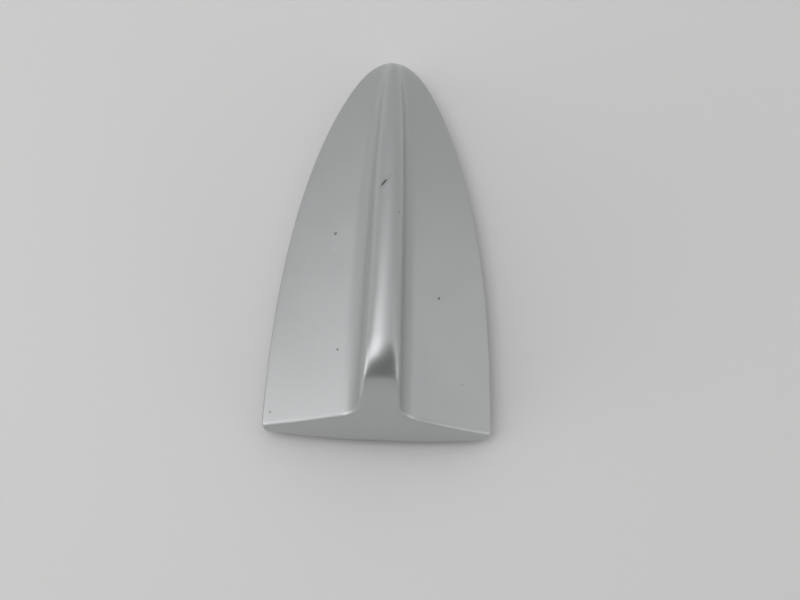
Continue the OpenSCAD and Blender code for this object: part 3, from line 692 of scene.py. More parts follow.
class Effects:
    """Effects that several materials share, each a node group that is built once.

    Attributes:
        fine_detail, coarse_detail: Detail of the two noises of the grain.
        fine_share, coarse_share: Their shares in its height.
        slow_low, slow_high: Values of the coarse noise between which the slow variation rises.
    """

    fine_detail, coarse_detail = 3.0, 2.0
    fine_share, coarse_share = 0.6, 0.4
    slow_low, slow_high = 0.3, 0.7

    def __init__(self) -> None:
        """Builds the groups."""
        self.grain, self.spot, self.dust = self._grain(), self._spot(), self._dust()

    @staticmethod
    def _start(name: str, inputs: tuple[str, ...],
               outputs: tuple[str, ...]) -> tuple[bpy.types.NodeTree, Tree, Outputs]:
        """Makes a group with named sockets. Place is a vector, and all others are numbers.

        Args:
            name: Name of the group.
            inputs: Names of the inputs.
            outputs: Names of the outputs.

        Returns:
            The group, the builder of its tree and the sockets that carry its inputs.
        """
        group = bpy.data.node_groups.new(name, "ShaderNodeTree")
        for sockets, way in ((inputs, "INPUT"), (outputs, "OUTPUT")):
            for socket in sockets:
                kind = "NodeSocketVector" if socket == "Place" else "NodeSocketFloat"
                group.interface.new_socket(name=socket, in_out=way, socket_type=kind)
        tree = Tree(group)
        return group, tree, tree.node("NodeGroupInput").outputs

    def _grain(self) -> bpy.types.NodeTree:
        """Fine grain of a surface: a coarse and a fine noise, added.

        Height is the grain itself, for a bump, and Variation its slow part, for colour and roughness.

        Returns:
            The group.
        """
        group, tree, given = self._start("surface_grain", ("Place", "Fine", "Coarse"),
                                         ("Height", "Variation"))
        fine = tree.noise(given["Place"], given["Fine"], self.fine_detail)
        coarse = tree.noise(given["Place"], given["Coarse"], self.coarse_detail)
        fine = tree.math("MULTIPLY", fine, self.fine_share)
        height = tree.math("MULTIPLY_ADD", coarse, self.coarse_share, fine)
        variation = tree.ramp(coarse, self.slow_low, self.slow_high)
        tree.node("NodeGroupOutput", {"Height": height, "Variation": variation})
        return group

    def _spot(self) -> bpy.types.NodeTree:
        """Round or long spot: 1 inside a ball of radius 1 round the origin, 0 beyond its soft edge.

        Returns:
            The group.
        """
        group, tree, given = self._start("spot", ("Place", "Edge"), ("Mask",))
        away = tree.vector("LENGTH", {0: given["Place"]}, "Value")
        mask = tree.ramp(away, 1.0, tree.math("ADD", 1.0, given["Edge"]), 1.0, 0.0)
        tree.node("NodeGroupOutput", {"Mask": mask})
        return group

    def _dust(self) -> bpy.types.NodeTree:
        """Sparse specks of dust, each a small disc at the middle of a cell that chance picks out.

        Returns:
            The group.
        """
        group, tree, given = self._start("dust", ("Place", "Cells", "Share", "Size"), ("Mask",))
        cells = tree.cells(given["Place"], given["Cells"])
        picked = tree.math("LESS_THAN", tree.axis(cells["Color"], "X"), given["Share"])
        disc = tree.math("LESS_THAN", cells["Distance"], given["Size"])
        tree.node("NodeGroupOutput", {"Mask": tree.math("MULTIPLY", picked, disc)})
        return group


# Finishes

def scaled(values: Colour | Point, factor: float) -> Colour | Point:
    """Colour or point with every number taken times a factor."""
    return tuple(v * factor for v in values)


class FinishTree(Tree):
    """Tree of one finish, with what every finish reads.

    Attributes:
        effects: Shared node groups.
        place: Place on the piece, in metres.
    """

    def __init__(self, tree: bpy.types.NodeTree, effects: Effects) -> None:
        """Starts on an empty tree.

        Args:
            tree: Node tree of the material.
            effects: Shared node groups.
        """
        super().__init__(tree)
        self.effects = effects
        self.place = self.node("ShaderNodeTexCoord").outputs["Object"]


@dataclass(frozen=True)
class Finish:
    """Base of all finishes: it owns the material's principled shader.

    Attributes:
        name: Name of the material.
        colour: Main colour.
        dark: Brightness of the dark places, as a part of the colour's. In coils and foam these places are
            painted shade in the grooves and pits.
        roughness, uneven: Roughness, and what the finish's pattern adds to it.
        grain, slow: Small and large waves of the surface a metre.
        relief: Height of the finish's pattern, in metres.
    """

    name: str
    colour: Colour
    dark: float = 0.8
    roughness: float = 0.45
    uneven: float = 0.12
    grain: float = 3500.0
    slow: float = 120.0
    relief: float = 0.00001

    def material(self, effects: Effects) -> Material:
        """Builds the material.

        Args:
            effects: Shared node groups.

        Returns:
            The new material.
        """
        material = bpy.data.materials.new(self.name)
        material.use_nodes = True
        tree = FinishTree(material.node_tree, effects)
        shader = tree.node("ShaderNodeBsdfPrincipled", self.sockets(tree))
        tree.node("ShaderNodeOutputMaterial", {"Surface": shader.outputs[0]})
        return material

    def sockets(self, tree: FinishTree) -> Sockets:
        """What feeds the shader, by socket name."""
        raise NotImplementedError

    def grained(self, tree: FinishTree) -> Outputs:
        """Height and slow variation of the grain."""
        return tree.group(tree.effects.grain, place=tree.place, fine=self.grain, coarse=self.slow)

    def surface(self, tree: FinishTree, share: Socket, height: Socket) -> Sockets:
        """Roughness that varies by a share, and the normal of a height."""
        return {"Roughness": tree.math("MULTIPLY_ADD", share, self.uneven, self.roughness),
                "Normal": tree.bump(height, self.relief)}


@dataclass(frozen=True)
class Mark:
    """Small mark on the paint.

    Attributes:
        at: Place of its middle, in millimetres.
        size: Radii along its own axes, in millimetres.
        turn: Turn of those axes about Z, in degrees.
        depth: How much of the paint's colour it takes away, or adds where it is negative.
        edge: Width of its soft edge, as a part of its radius.
    """

    at: Point
    size: Point
    turn: float = 0.0
    depth: float = 0.6
    edge: float = 0.5


@dataclass(frozen=True)
class SilverPaint(Finish):
    """Silver base coat with fine metal flake under a satin clear coat, with a few specks of dirt.

    Attributes:
        metallic: Share of the flake in the base coat.
        coat, coat_roughness, coat_ior: Weight, roughness and refraction of the clear coat.
        flakes, glint: Flakes a metre, and how much their brightness varies.
        dirt, pale: Colours of dark and of light marks.
        dust_cells, dust_share, dust_size, dust_depth: Cells of the dust a metre, the share of them that
            hold a speck, its size in the cell, and how much of the paint's colour it takes.
        mark_roughness, mark_dulling: What a full mark adds to the roughness and takes from the coat.
        marks: Specks and scratches.
    """

    name: str = "silver_paint"
    colour: Colour = (0.5, 0.51, 0.515)
    roughness: float = 0.38
    uneven: float = 0.04
    grain: float = 700.0
    slow: float = 60.0
    relief: float = 0.000004
    metallic: float = 0.85
    coat: float = 0.45
    coat_roughness: float = 0.12
    coat_ior: float = 1.5
    flakes: float = 9000.0
    glint: float = 0.1
    dirt: Colour = (0.08, 0.08, 0.08)
    pale: Colour = (0.9, 0.9, 0.9)
    dust_cells: float = 180.0
    dust_share: float = 0.05
    dust_size: float = 0.035
    dust_depth: float = 0.35
    mark_roughness: float = 0.3
    mark_dulling: float = 0.4
    marks: tuple[Mark, ...] = (
        Mark((-1.85, 8.44, 42.2), (1.35, 0.36, 1.2), turn=55.0, depth=1.0, edge=0.3),
        Mark((-1.6, 8.84, 42.1), (2.4, 0.8, 1.6), turn=60.0, depth=0.13, edge=1.0),
        Mark((-18.57, -2.44, 18.43), (0.5, 0.5, 0.5), depth=0.7),
        Mark((20.04, -25.34, 19.39), (0.4, 0.4, 0.4), depth=0.75),
        Mark((-15.05, -46.19, 22.96), (0.35, 0.35, 0.35), depth=0.7),
        Mark((3.56, -2.82, 44.64), (0.35, 0.35, 0.35), depth=0.4),
        Mark((-38.06, -67.64, 11.18), (0.4, 0.4, 0.4), depth=0.4),
        Mark((29.4, -55.63, 15.59), (0.6, 0.4, 0.5), depth=0.14),
        Mark((-18.73, -8.57, 18.89), (0.7, 0.5, 0.5), depth=-0.08, edge=1.0),
    )

    def sockets(self, tree: FinishTree) -> Sockets:
        """Flake varies the base coat's brightness, and each mark darkens and dulls it.

        Args:
            tree: Builder of the material's tree.

        Returns:
            What feeds the shader, by socket name.
        """
        flake = tree.axis(tree.cells(tree.place, self.flakes)["Color"], "X")
        shade = tree.math("MULTIPLY_ADD", flake, self.glint, 1 - self.glint / 2)
        colour = tree.vector("SCALE", {0: self.colour, "Scale": shade}, "Vector")
        dull: Source = 0.0
        for mark in self.marks:
            near = tree.mapped(tree.place, scaled(mark.at, MM), (0.0, 0.0, math.radians(mark.turn)),
                               scaled(mark.size, MM))
            mask = tree.group(tree.effects.spot, place=near, edge=mark.edge)["Mask"]
            strength = tree.math("MULTIPLY", mask, abs(mark.depth))
            colour = tree.blend(strength, colour, self.dirt if mark.depth > 0 else self.pale)
            dull = tree.math("MAXIMUM", dull, strength)
        specks = tree.group(tree.effects.dust, place=tree.place, cells=self.dust_cells,
                            share=self.dust_share, size=self.dust_size)["Mask"]
        lost = tree.math("MULTIPLY", dull, self.mark_dulling)
        peel = self.grained(tree)
        surface = self.surface(tree, peel["Variation"], peel["Height"])
        return surface | {
            "Base Color": tree.blend(tree.math("MULTIPLY", specks, self.dust_depth), colour, self.dirt),
            "Metallic": tree.math("SUBTRACT", self.metallic, tree.math("MULTIPLY", dull, self.metallic)),
            "Roughness": tree.math("MULTIPLY_ADD", dull, self.mark_roughness, surface["Roughness"]),
            "Coat Weight": tree.math("SUBTRACT", self.coat, lost, clamp=True),
            "Coat Roughness": self.coat_roughness,
            "Coat IOR": self.coat_ior,
        }


@dataclass(frozen=True)
class Moulding(Finish):
    """Moulded plastic or rubber with a fine spark grain.

    Attributes:
        chalk: How much paler the worn or dusty parts are.
    """

    chalk: float = 0.06

    def sockets(self, tree: FinishTree) -> Sockets:
        """Grain bumps the surface, and its slow part varies the colour and the gloss.

        Args:
            tree: Builder of the material's tree.

        Returns:
            What feeds the shader, by socket name.
        """
        grain = self.grained(tree)
        pale = tuple(min(1.0, c + self.chalk) for c in self.colour)
        return {"Base Color": tree.blend(grain["Variation"], self.colour, pale),
                **self.surface(tree, grain["Variation"], grain["Height"])}


@dataclass(frozen=True)
class BareMetal(Finish):
    """Bare or plated metal: cast, drawn or rolled.

    Attributes:
        tarnish: Colour of its dull places.
        tarnish_share: How much of that colour they take.
    """

    roughness: float = 0.3
    uneven: float = 0.15
    grain: float = 2500.0
    slow: float = 90.0
    relief: float = 0.000008
    tarnish: Colour = (0.2, 0.2, 0.2)
    tarnish_share: float = 0.25

    def sockets(self, tree: FinishTree) -> Sockets:
        """Grain bumps the metal, and its slow part dulls and darkens it.

        Args:
            tree: Builder of the material's tree.

        Returns:
            What feeds the shader, by socket name.
        """
        grain = self.grained(tree)
        share = tree.math("MULTIPLY", grain["Variation"], self.tarnish_share)
        return {"Base Color": tree.blend(share, self.colour, self.tarnish), "Metallic": 1.0,
                **self.surface(tree, grain["Variation"], grain["Height"])}


@dataclass(frozen=True)
class BoardLaminate(Finish):
    """Circuit board: green solder mask over copper tracks.

    Attributes:
        track: Colour of the mask over copper.
        pitch, run, track_w, blur: Distance between the tracks, and the length, width and soft edge of a
            track, in millimetres.
        shift, shift_rows: How far every few rows are shifted, as a part of the run, and how few.
        turn: Turn of the pattern about each axis, in degrees.
        copper_share: Share of the copper in the surface's height.
    """

    name: str = "board_laminate"
    colour: Colour = (0.02, 0.13, 0.06)
    roughness: float = 0.32
    uneven: float = 0.1
    grain: float = 5000.0
    slow: float = 300.0
    relief: float = 0.00004
    track: Colour = (0.05, 0.24, 0.11)
    pitch: float = 2.6
    run: float = 9.0
    track_w: float = 0.14
    blur: float = 0.3
    shift: float = 0.37
    shift_rows: int = 3
    turn: Point = (0.0, 0.0, 0.0)
    copper_share: float = 0.8

    def sockets(self, tree: FinishTree) -> Sockets:
        """Tracks are the mortar of a brick pattern, raised a little by the copper below them.

        Args:
            tree: Builder of the material's tree.

        Returns:
            What feeds the shader, by socket name.
        """
        turn = scaled(self.turn, math.radians(1.0))
        near = tree.mapped(tree.place, (0.0, 0.0, 0.0), turn, (MM, MM, MM))
        sources = {"Vector": near, "Scale": 1.0, "Mortar Size": self.track_w, "Mortar Smooth": self.blur,
                   "Brick Width": self.run, "Row Height": self.pitch}
        copper = tree.node("ShaderNodeTexBrick", sources, offset=self.shift,
                           offset_frequency=self.shift_rows).outputs["Fac"]
        grain = self.grained(tree)
        fine = tree.math("MULTIPLY", grain["Height"], 1 - self.copper_share)
        height = tree.math("MULTIPLY_ADD", copper, self.copper_share, fine)
        return {"Base Color": tree.blend(copper, self.colour, self.track),
                **self.surface(tree, grain["Variation"], height)}


@dataclass(frozen=True)
class Ceramic(Finish):
    """Fired ceramic with a silver electrode printed on its top face, which is smoother.

    Attributes:
        electrode: Colour of the electrode.
        top: Height of the electrode's face, in metres.
        skin: Depth below it that still counts as the face, in metres.
        centre: Middle of the electrode, in metres.
        half: Half of the electrode's side, in metres. 0 leaves it out.
    """

    name: str = "patch_ceramic"
    colour: Colour = (0.62, 0.52, 0.40)
    dark: float = 0.82
    roughness: float = 0.6
    uneven: float = -0.25
    grain: float = 4200.0
    slow: float = 400.0
    electrode: Colour = (0.72, 0.71, 0.68)
    top: float = 0.0
    skin: float = 0.00005
    centre: tuple[float, float] = (0.0, 0.0)
    half: float = 0.0

    def sockets(self, tree: FinishTree) -> Sockets:
        """The electrode is where the top face lies inside its square, seen from the square's middle.

        Args:
            tree: Builder of the material's tree.

        Returns:
            What feeds the shader, by socket name.
        """
        grain = self.grained(tree)
        body = tree.blend(grain["Variation"], self.colour, scaled(self.colour, self.dark))
        near = tree.mapped(tree.place, (*self.centre, self.top))
        reach = tree.math("MAXIMUM", *(tree.math("ABSOLUTE", tree.axis(near, name)) for name in "XY"))
        silver = tree.math("MULTIPLY", tree.math("LESS_THAN", reach, self.half),
                           tree.math("GREATER_THAN", tree.axis(near, "Z"), -self.skin))
        return {"Base Color": tree.blend(silver, body, self.electrode), "Metallic": silver,
                **self.surface(tree, silver, grain["Height"])}


@dataclass(frozen=True)
class ChipCapacitor(Finish):
    """Small ceramic capacitors in rows, each with two tinned ends.

    Attributes:
        tin: Colour of the tinned ends.
        start: Place of the first one's end along the part, in metres.
        pitch: Distance from one to the next, in metres.
        length: Length of each, in metres.
        end: Length of each tinned end, in metres.
    """

    name: str = "capacitor_ceramic"
    colour: Colour = (0.30, 0.19, 0.11)
    roughness: float = 0.35
    uneven: float = 0.15
    grain: float = 6000.0
    slow: float = 900.0
    tin: Colour = (0.7, 0.7, 0.68)
    start: float = -0.030
    pitch: float = 0.007
    length: float = 0.002
    end: float = 0.0004

    def sockets(self, tree: FinishTree) -> Sockets:
        """Place along each capacitor is the remainder of the place over the pitch.

        Args:
            tree: Builder of the material's tree.

        Returns:
            What feeds the shader, by socket name.
        """
        from_start = tree.math("SUBTRACT", tree.axis(tree.place, "Y"), self.start)
        along = tree.math("FLOORED_MODULO", from_start, self.pitch)
        off = tree.math("ABSOLUTE", tree.math("SUBTRACT", along, self.length / 2))
        tin = tree.math("GREATER_THAN", off, self.length / 2 - self.end)
        grain = self.grained(tree)
        body = tree.blend(grain["Variation"], self.colour, scaled(self.colour, self.dark))
        return {"Base Color": tree.blend(tin, body, self.tin), "Metallic": tin,
                **self.surface(tree, grain["Variation"], grain["Height"])}


@dataclass(frozen=True)
class CoilWire(Finish):
    """Enamelled copper wire in level turns, smoother at their tops, with painted shade in the grooves
    between them.

    Attributes:
        wire: Distance from one turn to the next, in metres.
    """

    name: str = "coil_copper"
    colour: Colour = (0.72, 0.33, 0.16)
    # Brightness of the grooves between turns, as a part of the colour's: painted shade.
    dark: float = 0.4
    roughness: float = 0.4
    uneven: float = -0.1
    relief: float = 0.000125
    wire: float = 0.00025

    def sockets(self, tree: FinishTree) -> Sockets:
        """Turns are round ridges: the height is the root of 1 - (2 f - 1)^2, with f the share of a turn.

        Args:
            tree: Builder of the material's tree.

        Returns:
            What feeds the shader, by socket name.
        """
        share = tree.math("FRACT", tree.math("DIVIDE", tree.axis(tree.place, "Z"), self.wire))
        off = tree.math("MULTIPLY_ADD", share, 2.0, -1.0)
        ridge = tree.math("SQRT", tree.math("SUBTRACT", 1.0, tree.math("MULTIPLY", off, off)))
        # Painted shade: the colour darkens towards the grooves between turns, following the ridge height.
        colour = tree.blend(ridge, scaled(self.colour, self.dark), self.colour)
        return {"Base Color": colour, "Metallic": 1.0, **self.surface(tree, ridge, ridge)}


@dataclass(frozen=True)
class Foam(Finish):
    """Open or closed cell foam.

    Attributes:
        cells: Cells a metre.
        pit, wall: Distance from a cell's middle at which its pit ends and its wall begins.
    """

    # Brightness of the cell pits, as a part of the colour's: painted shade.
    dark: float = 0.5
    roughness: float = 0.85
    uneven: float = 0.1
    relief: float = 0.00012
    cells: float = 2500.0
    pit: float = 0.1
    wall: float = 0.6

    def sockets(self, tree: FinishTree) -> Sockets:
        """Each cell is a pit between walls, its colour darker towards the middle as painted shade in the
        pit.

        Args:
            tree: Builder of the material's tree.

        Returns:
            What feeds the shader, by socket name.
        """
        wall = tree.ramp(tree.cells(tree.place, self.cells)["Distance"], self.pit, self.wall)
        # Painted shade: the colour darkens towards each cell's middle, where the pit is, and the walls stay
        # paler.
        return {"Base Color": tree.blend(wall, scaled(self.colour, self.dark), self.colour),
                **self.surface(tree, wall, wall)}


# Sub-assemblies

@dataclass(frozen=True)
class Cover:
    """Moulded cover: painted skin, bare inner skin, and the bosses and webs that hold its screws.

    Attributes:
        form: Shape of the skins.
        steps: Columns in each segment of the half section.
        rows: Body, tail edge and face rows.
        rim_steps: Rows of the rounded outer edge of the rim.
        screws: Places of the bosses, as x and y.
        webs: Webs, as the boss's number and how far the web reaches across and along.
        boss_z, boss_r: Height and radius of the bosses' feet.
        boss_draft, boss_reach: Growth of the bosses' radius, and the length over which they grow.
        boss_sides: Faces round a boss.
        pilot_r, pilot_h: Radius and depth of the screw holes.
        web_t, web_rise: Thickness of the webs, and their feet's height above the bosses' feet.
        web_steps, web_least: Stations along a web, and its least height.
    """

    form: CoverForm = CoverForm()
    steps: tuple[int, ...] = (3, 6, 14, 24, 12, 22)
    rows: tuple[int, int, int] = (150, 16, 12)
    rim_steps: int = 4
    screws: tuple[tuple[float, float], ...] = ((28.5, -60), (-28.5, -60), (24.5, 1), (-24.5, 1), (0, 50))
    webs: tuple[tuple[int, float, float], ...] = (
        (0, 12, 0), (0, 0, -12), (1, -12, 0), (1, 0, -12), (2, 12, 0), (2, 0, 12), (3, -12, 0), (3, 0, 12),
        (4, 12, 0), (4, -12, 0), (4, 0, 12))
    boss_z: float = 8.0
    boss_r: float = 3.0
    boss_draft: float = 0.8
    boss_reach: float = 40.0
    boss_sides: int = 32
    pilot_r: float = 1.3
    pilot_h: float = 3.9
    web_t: float = 1.2
    web_rise: float = 0.6
    web_steps: int = 40
    web_least: float = 0.05

    def build(self, paint: Material, plastic: Material) -> None:
        """Makes the shell and the bosses.

        Args:
            paint: Finish of the painted skin and the rim.
            plastic: Finish of the inside.
        """
        points, outside, inside = self.shell()
        surface = points, np.concatenate([outside, inside])
        shell = new_piece("cover_shell", surface, paint, "cover")
        shell.data.materials.append(plastic)
        numbers = np.repeat([0, 1], [len(outside), len(inside)])
        shell.data.polygons.foreach_set("material_index", numbers)
        parts = [self.boss(screw) for screw in self.screws] + [self.web(*web) for web in self.webs]
        new_piece("cover_bosses", joined(parts), plastic, "cover", smooth=False)

    def shell(self) -> tuple[Array, Array, Array]:
        """Closed shell of the outer skin, the inner skin and the rim between them.

        The rim is a profile carried along the two skins' feet: from the outer foot it turns under by a
        quarter round, P = foot + in r (1 - cos b) - up r sin b, and then goes straight to the inner foot.

        Returns:
            Points, the triangles outside and those inside.
        """
        steps = dict(zip(Segment, self.steps))
        outer, inner = (self.form.skin(steps, self.rows, depth) for depth in (0.0, self.form.wall))
        rows, cols = outer.shape[:2]
        index = np.arange(rows * cols).reshape(rows, cols)
        flat = self.rows[0] + self.rows[1]
        index[flat:, 0], index[flat:, -1] = index[flat, 0], index[flat, -1]
        crest = cols // 2
        nose = np.stack([index[0, :crest + 1], index[0, crest:][::-1]])
        skin = np.concatenate([grid_triangles(index)[:, ::-1], grid_triangles(nose)])
        loop = np.concatenate([index[:flat, 0], index[-1], index[flat - 1::-1, -1]])

        outer, inner = outer.reshape(-1, 3), inner.reshape(-1, 3)
        foot, count = outer[loop], len(outer)
        inward = (inner[loop] - foot) * [1, 1, 0]
        inward /= np.linalg.norm(inward, axis=1)[:, None]
        bend = (np.arange(1, self.rim_steps + 1) / self.rim_steps * math.pi / 2)[:, None, None]
        r = self.form.rim_round
        under = foot + inward * r * (1 - np.cos(bend)) - np.array([0, 0, r]) * np.sin(bend)
        below = 2 * count + np.arange(self.rim_steps * len(loop)).reshape(-1, len(loop))
        ring = np.concatenate([loop[None], below, loop[None] + count])
        ring = grid_triangles(np.concatenate([ring, ring[:, :1]], 1))
        points = np.concatenate([outer, inner, under.reshape(-1, 3)])
        return points, np.concatenate([skin, ring[:, ::-1]]), skin[:, ::-1] + count

    def ceiling(self, x: Array, y: Array) -> Array:
        """Height at which bosses and webs end, a third of the wall below the painted skin."""
        return self.form.roof(x, y, self.form.wall / 3)

    def boss(self, screw: tuple[float, float]) -> Surface:
        """Screw boss: a closed profile turned about its axis, whose top ring follows the cover's inside.

        Args:
            screw: Place of its axis, x and y.

        Returns:
            Points and triangles.
        """
        top, end = self.boss_z + self.boss_reach, self.boss_z + self.pilot_h
        profile = np.array([[0, end], [self.pilot_r, end], [self.pilot_r, self.boss_z],
                            [self.boss_r, self.boss_z], [self.boss_r + self.boss_draft, top], [0, top]])
        points, faces = turned(profile, screw, self.boss_sides)
        high = points[:, 2] == top
        points[high, 2] = self.ceiling(points[high, 0], points[high, 1])
        return points, faces

    def web(self, number: int, across: float, along: float) -> Surface:
        """Web from a boss to the wall: a flat plate whose upper edge follows the inside of the cover.

        The plate is a tube of four long edges: at station s they stand half a thickness to either side of
        the middle line, at the web's foot and at the roof. It ends where the roof comes down to the foot.

        Args:
            number: Number of its boss.
            across: How far it reaches across the part.
            along: How far it reaches along the part.

        Returns:
            Points and triangles.
        """
        start, way = np.array(self.screws[number]), np.array([across, along], float)
        reach = np.linalg.norm(way)
        way /= reach
        side = np.array([-way[1], way[0]]) * self.web_t / 2
        low = self.boss_z + self.web_rise
        line = start + way * np.linspace(0, reach, self.web_steps)[:, None]
        roof = np.min([self.ceiling(*(line + k * side).T) for k in (-1, 1)], axis=0)
        keep = np.logical_and.accumulate(roof > low + self.web_least)
        line, roof = line[keep], roof[keep]
        corners = [(-1, low), (1, low), (1, roof), (-1, roof)]
        tube = np.stack([np.column_stack([line + k * side, np.broadcast_to(z, len(line))])
                         for k, z in corners], 1)
        index = np.arange(len(line) * 4).reshape(-1, 4)
        ends = np.concatenate([index[0][[[0, 1, 2], [0, 2, 3]]], index[-1][[[0, 2, 1], [0, 3, 2]]]])
        walls = grid_triangles(np.concatenate([index, index[:, :1]], 1))
        return tube.reshape(-1, 3), np.concatenate([walls, ends])


@dataclass(frozen=True)
class FixingInsert:
    """Brass insert in the spigot, with the thread that the roof bolt turns into.

    Attributes:
        centre: Place of its axis, x and y.
        low, high: Heights of its lower and its upper face.
        radius: Outer radius.
        groove: Height of its groove's lower edge, the groove's height and its depth.
        minor_r: Radius over the thread's crests.
        depth: Depth of the threaded bore.
        pitch: Pitch of the thread.
        thread_h: Height of the thread from crest to root.
        chamfer: Chamfer at the mouth.
        turn_steps: Rows of the bore for each turn of the thread.
        sides: Columns round the bore.
    """

    centre: tuple[float, float] = (0.0, -13.0)
    low: float = 0.2
    high: float = 7.8
    radius: float = 4.5
    groove: tuple[float, float, float] = (3.0, 1.0, 0.5)
    minor_r: float = 2.5
    depth: float = 7.0
    pitch: float = 1.0
    thread_h: float = 0.45
    chamfer: float = 0.3
    turn_steps: int = 12
    sides: int = 72

    def build(self, brass: Material) -> None:
        """Makes the insert.

        Args:
            brass: Finish of the whole insert.
        """
        gz, gh, gt = self.groove
        c, g, r = self.chamfer, self.low + gz, self.radius
        outer = np.array([[r - c, self.low], [r, self.low + c], [r, g], [r - gt, g], [r - gt, g + gh],
                          [r, g + gh], [r, self.high - c], [r - c, self.high], [0, self.high]])
        points, faces = turned(outer, self.centre, self.sides)
        bore = self.bore().reshape(-1, 3)
        bottom = np.array([[*self.centre, self.low + self.depth]])
        wall = len(points) + np.arange(len(bore)).reshape(-1, self.sides)
        pole = np.full((1, self.sides), len(points) + len(bore))
        grid = np.concatenate([np.arange(self.sides)[None], wall, pole])
        faces = np.concatenate([faces, grid_triangles(np.concatenate([grid, grid[:, :1]], 1))])
        surface = np.concatenate([points, bore, bottom]), faces
        new_piece("fixing_insert_threaded", surface, brass, "fixing_insert", smooth=False)

    def bore(self) -> Array:
        """Threaded bore as a grid of height and angle.

        The radius is minor_r + thread_h v, where v is a triangle wave, 1 at its root, of the height over
        the pitch less the angle over a full turn. It opens to the chamfer at the mouth and closes to the
        minor radius at the bottom.

        Returns:
            Points in rows from the mouth to the bottom.
        """
        count = int(self.depth / self.pitch * self.turn_steps)
        z = np.linspace(0, self.depth, count)[:, None]
        angle = (np.arange(self.sides) * 2 * np.pi / self.sides)[None]
        wave = 1 - 2 * np.abs((z / self.pitch - angle / (2 * np.pi)) % 1 - 0.5)
        fade = unit((self.depth - z) / self.pitch)
        r = self.minor_r + self.thread_h * wave * fade
        r = np.maximum(r, self.minor_r + self.thread_h + self.chamfer - z)
        return np.stack([self.centre[0] + r * np.cos(angle), self.centre[1] + r * np.sin(angle),
                         self.low + z + 0 * angle], -1)


@dataclass(frozen=True)
class Internals:
    """Every piece that keeps its solid, with its finish.

    Attributes:
        nodes: Solids by name.
        effects: Shared node groups.
        margin: Bare ceramic round the electrode of the patch antenna, in metres.
    """

    nodes: dict[str, bpy.types.Object]
    effects: Effects
    margin: float = 0.0015

    def finishes(self) -> dict[Finish, tuple[str, ...]]:
        """Which solids get each finish.

        Returns:
            Names of the solids by finish.
        """
        low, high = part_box("patch_antenna")
        patch = Ceramic(top=high.z, centre=((low.x + high.x) / 2, (low.y + high.y) / 2),
                        half=(high.x - low.x) / 2 - self.margin)
        return {
            Moulding("seal_rubber", (0.022, 0.022, 0.024), roughness=0.62, grain=1800.0,
                     chalk=0.02): ("roof_seal",),
            BareMetal("cast_alloy", (0.60, 0.61, 0.62), roughness=0.42, grain=1200.0, relief=0.00003,
                      tarnish=(0.35, 0.35, 0.36)): ("base_plate",),
            BareMetal("screw_steel", (0.62, 0.62, 0.63), roughness=0.28):
                ("cover_screws", "board_screws"),
            BareMetal("tinned_steel", (0.72, 0.72, 0.71), roughness=0.22, grain=900.0, relief=0.000004):
                ("shield_frame", "shield_lid", "patch_pin", "blade_contacts"),
            BareMetal("spring_steel", (0.55, 0.56, 0.57), roughness=0.25, grain=1500.0):
                ("retaining_clips",),
            BareMetal("contact_gold", (0.85, 0.62, 0.27), roughness=0.2, grain=1500.0,
                      tarnish=(0.5, 0.34, 0.14)): ("socket_shells", "socket_pins"),
            BoardLaminate(): ("main_board",),
            BoardLaminate("blade_laminate", turn=(0.0, 90.0, 0.0), pitch=4.0): ("phone_blade",),
            patch: ("patch_antenna",),
            Ceramic("filter_ceramic", colour=(0.70, 0.66, 0.58)): ("filter_blocks",),
            ChipCapacitor(): ("capacitors",),
            CoilWire(): ("coils",),
            Foam("grey_foam", (0.12, 0.12, 0.13)): ("foam_pads",),
            Foam("tape_foam", (0.78, 0.78, 0.75), cells=5000.0): ("patch_tape",),
            Moulding("black_moulding", (0.02, 0.02, 0.022), roughness=0.4):
                ("blade_carrier", "amplifier_chips"),
            Moulding("socket_red", (0.30, 0.035, 0.07), roughness=0.35, chalk=0.03): ("socket_phone",),
            Moulding("socket_blue", (0.025, 0.07, 0.30), roughness=0.35, chalk=0.03):
                ("socket_navigation",),
            Moulding("socket_beige", (0.52, 0.38, 0.18), roughness=0.35, chalk=0.03): ("socket_radio",),
            Moulding("white_insulator", (0.78, 0.78, 0.76), roughness=0.3, chalk=0.02):
                ("socket_insulators",),
        }

    def dress(self) -> None:
        """Gives each solid its finish."""
        for finish, names in self.finishes().items():
            material = finish.material(self.effects)
            for name in names:
                for slot in self.nodes[name].material_slots:
                    slot.material = material
                log.info("%s: finish %s", name, finish.name)


# Studio

def direction(azimuth: float, elevation: float) -> Vector:
    """Unit vector of a direction, in degrees from +X towards +Y and above the table's plane."""
    a, e = math.radians(azimuth), math.radians(elevation)
    return Vector((math.cos(a) * math.cos(e), math.sin(a) * math.cos(e), math.sin(e)))


@dataclass(frozen=True)
class Softbox:
    """Soft lamp that looks at a point.

    Attributes:
        name: Name of the lamp.
        azimuth: Direction from the part, in degrees from +X towards +Y.
        elevation: Height above the table's plane, in degrees.
        distance: Distance from the part, in metres.
        size: Width and height, in metres.
        power: Power in watts.
        aim: What it looks at, in metres.
    """

    name: str
    azimuth: float
    elevation: float
    distance: float
    size: tuple[float, float]
    power: float
    aim: Point = (0.0, 0.0, 0.02)

    def light(self) -> None:
        """Makes the lamp."""
        way = direction(self.azimuth, self.elevation)
        lamp = bpy.data.lights.new(self.name, "AREA")
        lamp.shape = "RECTANGLE"
        lamp.size, lamp.size_y = self.size
        lamp.energy = self.power
        holder = linked(self.name, lamp)
        holder.location = Vector(self.aim) + way * self.distance
        holder.rotation_mode = "QUATERNION"
        holder.rotation_quaternion = way.to_track_quat("Z", "Y")
        holder.visible_camera = False


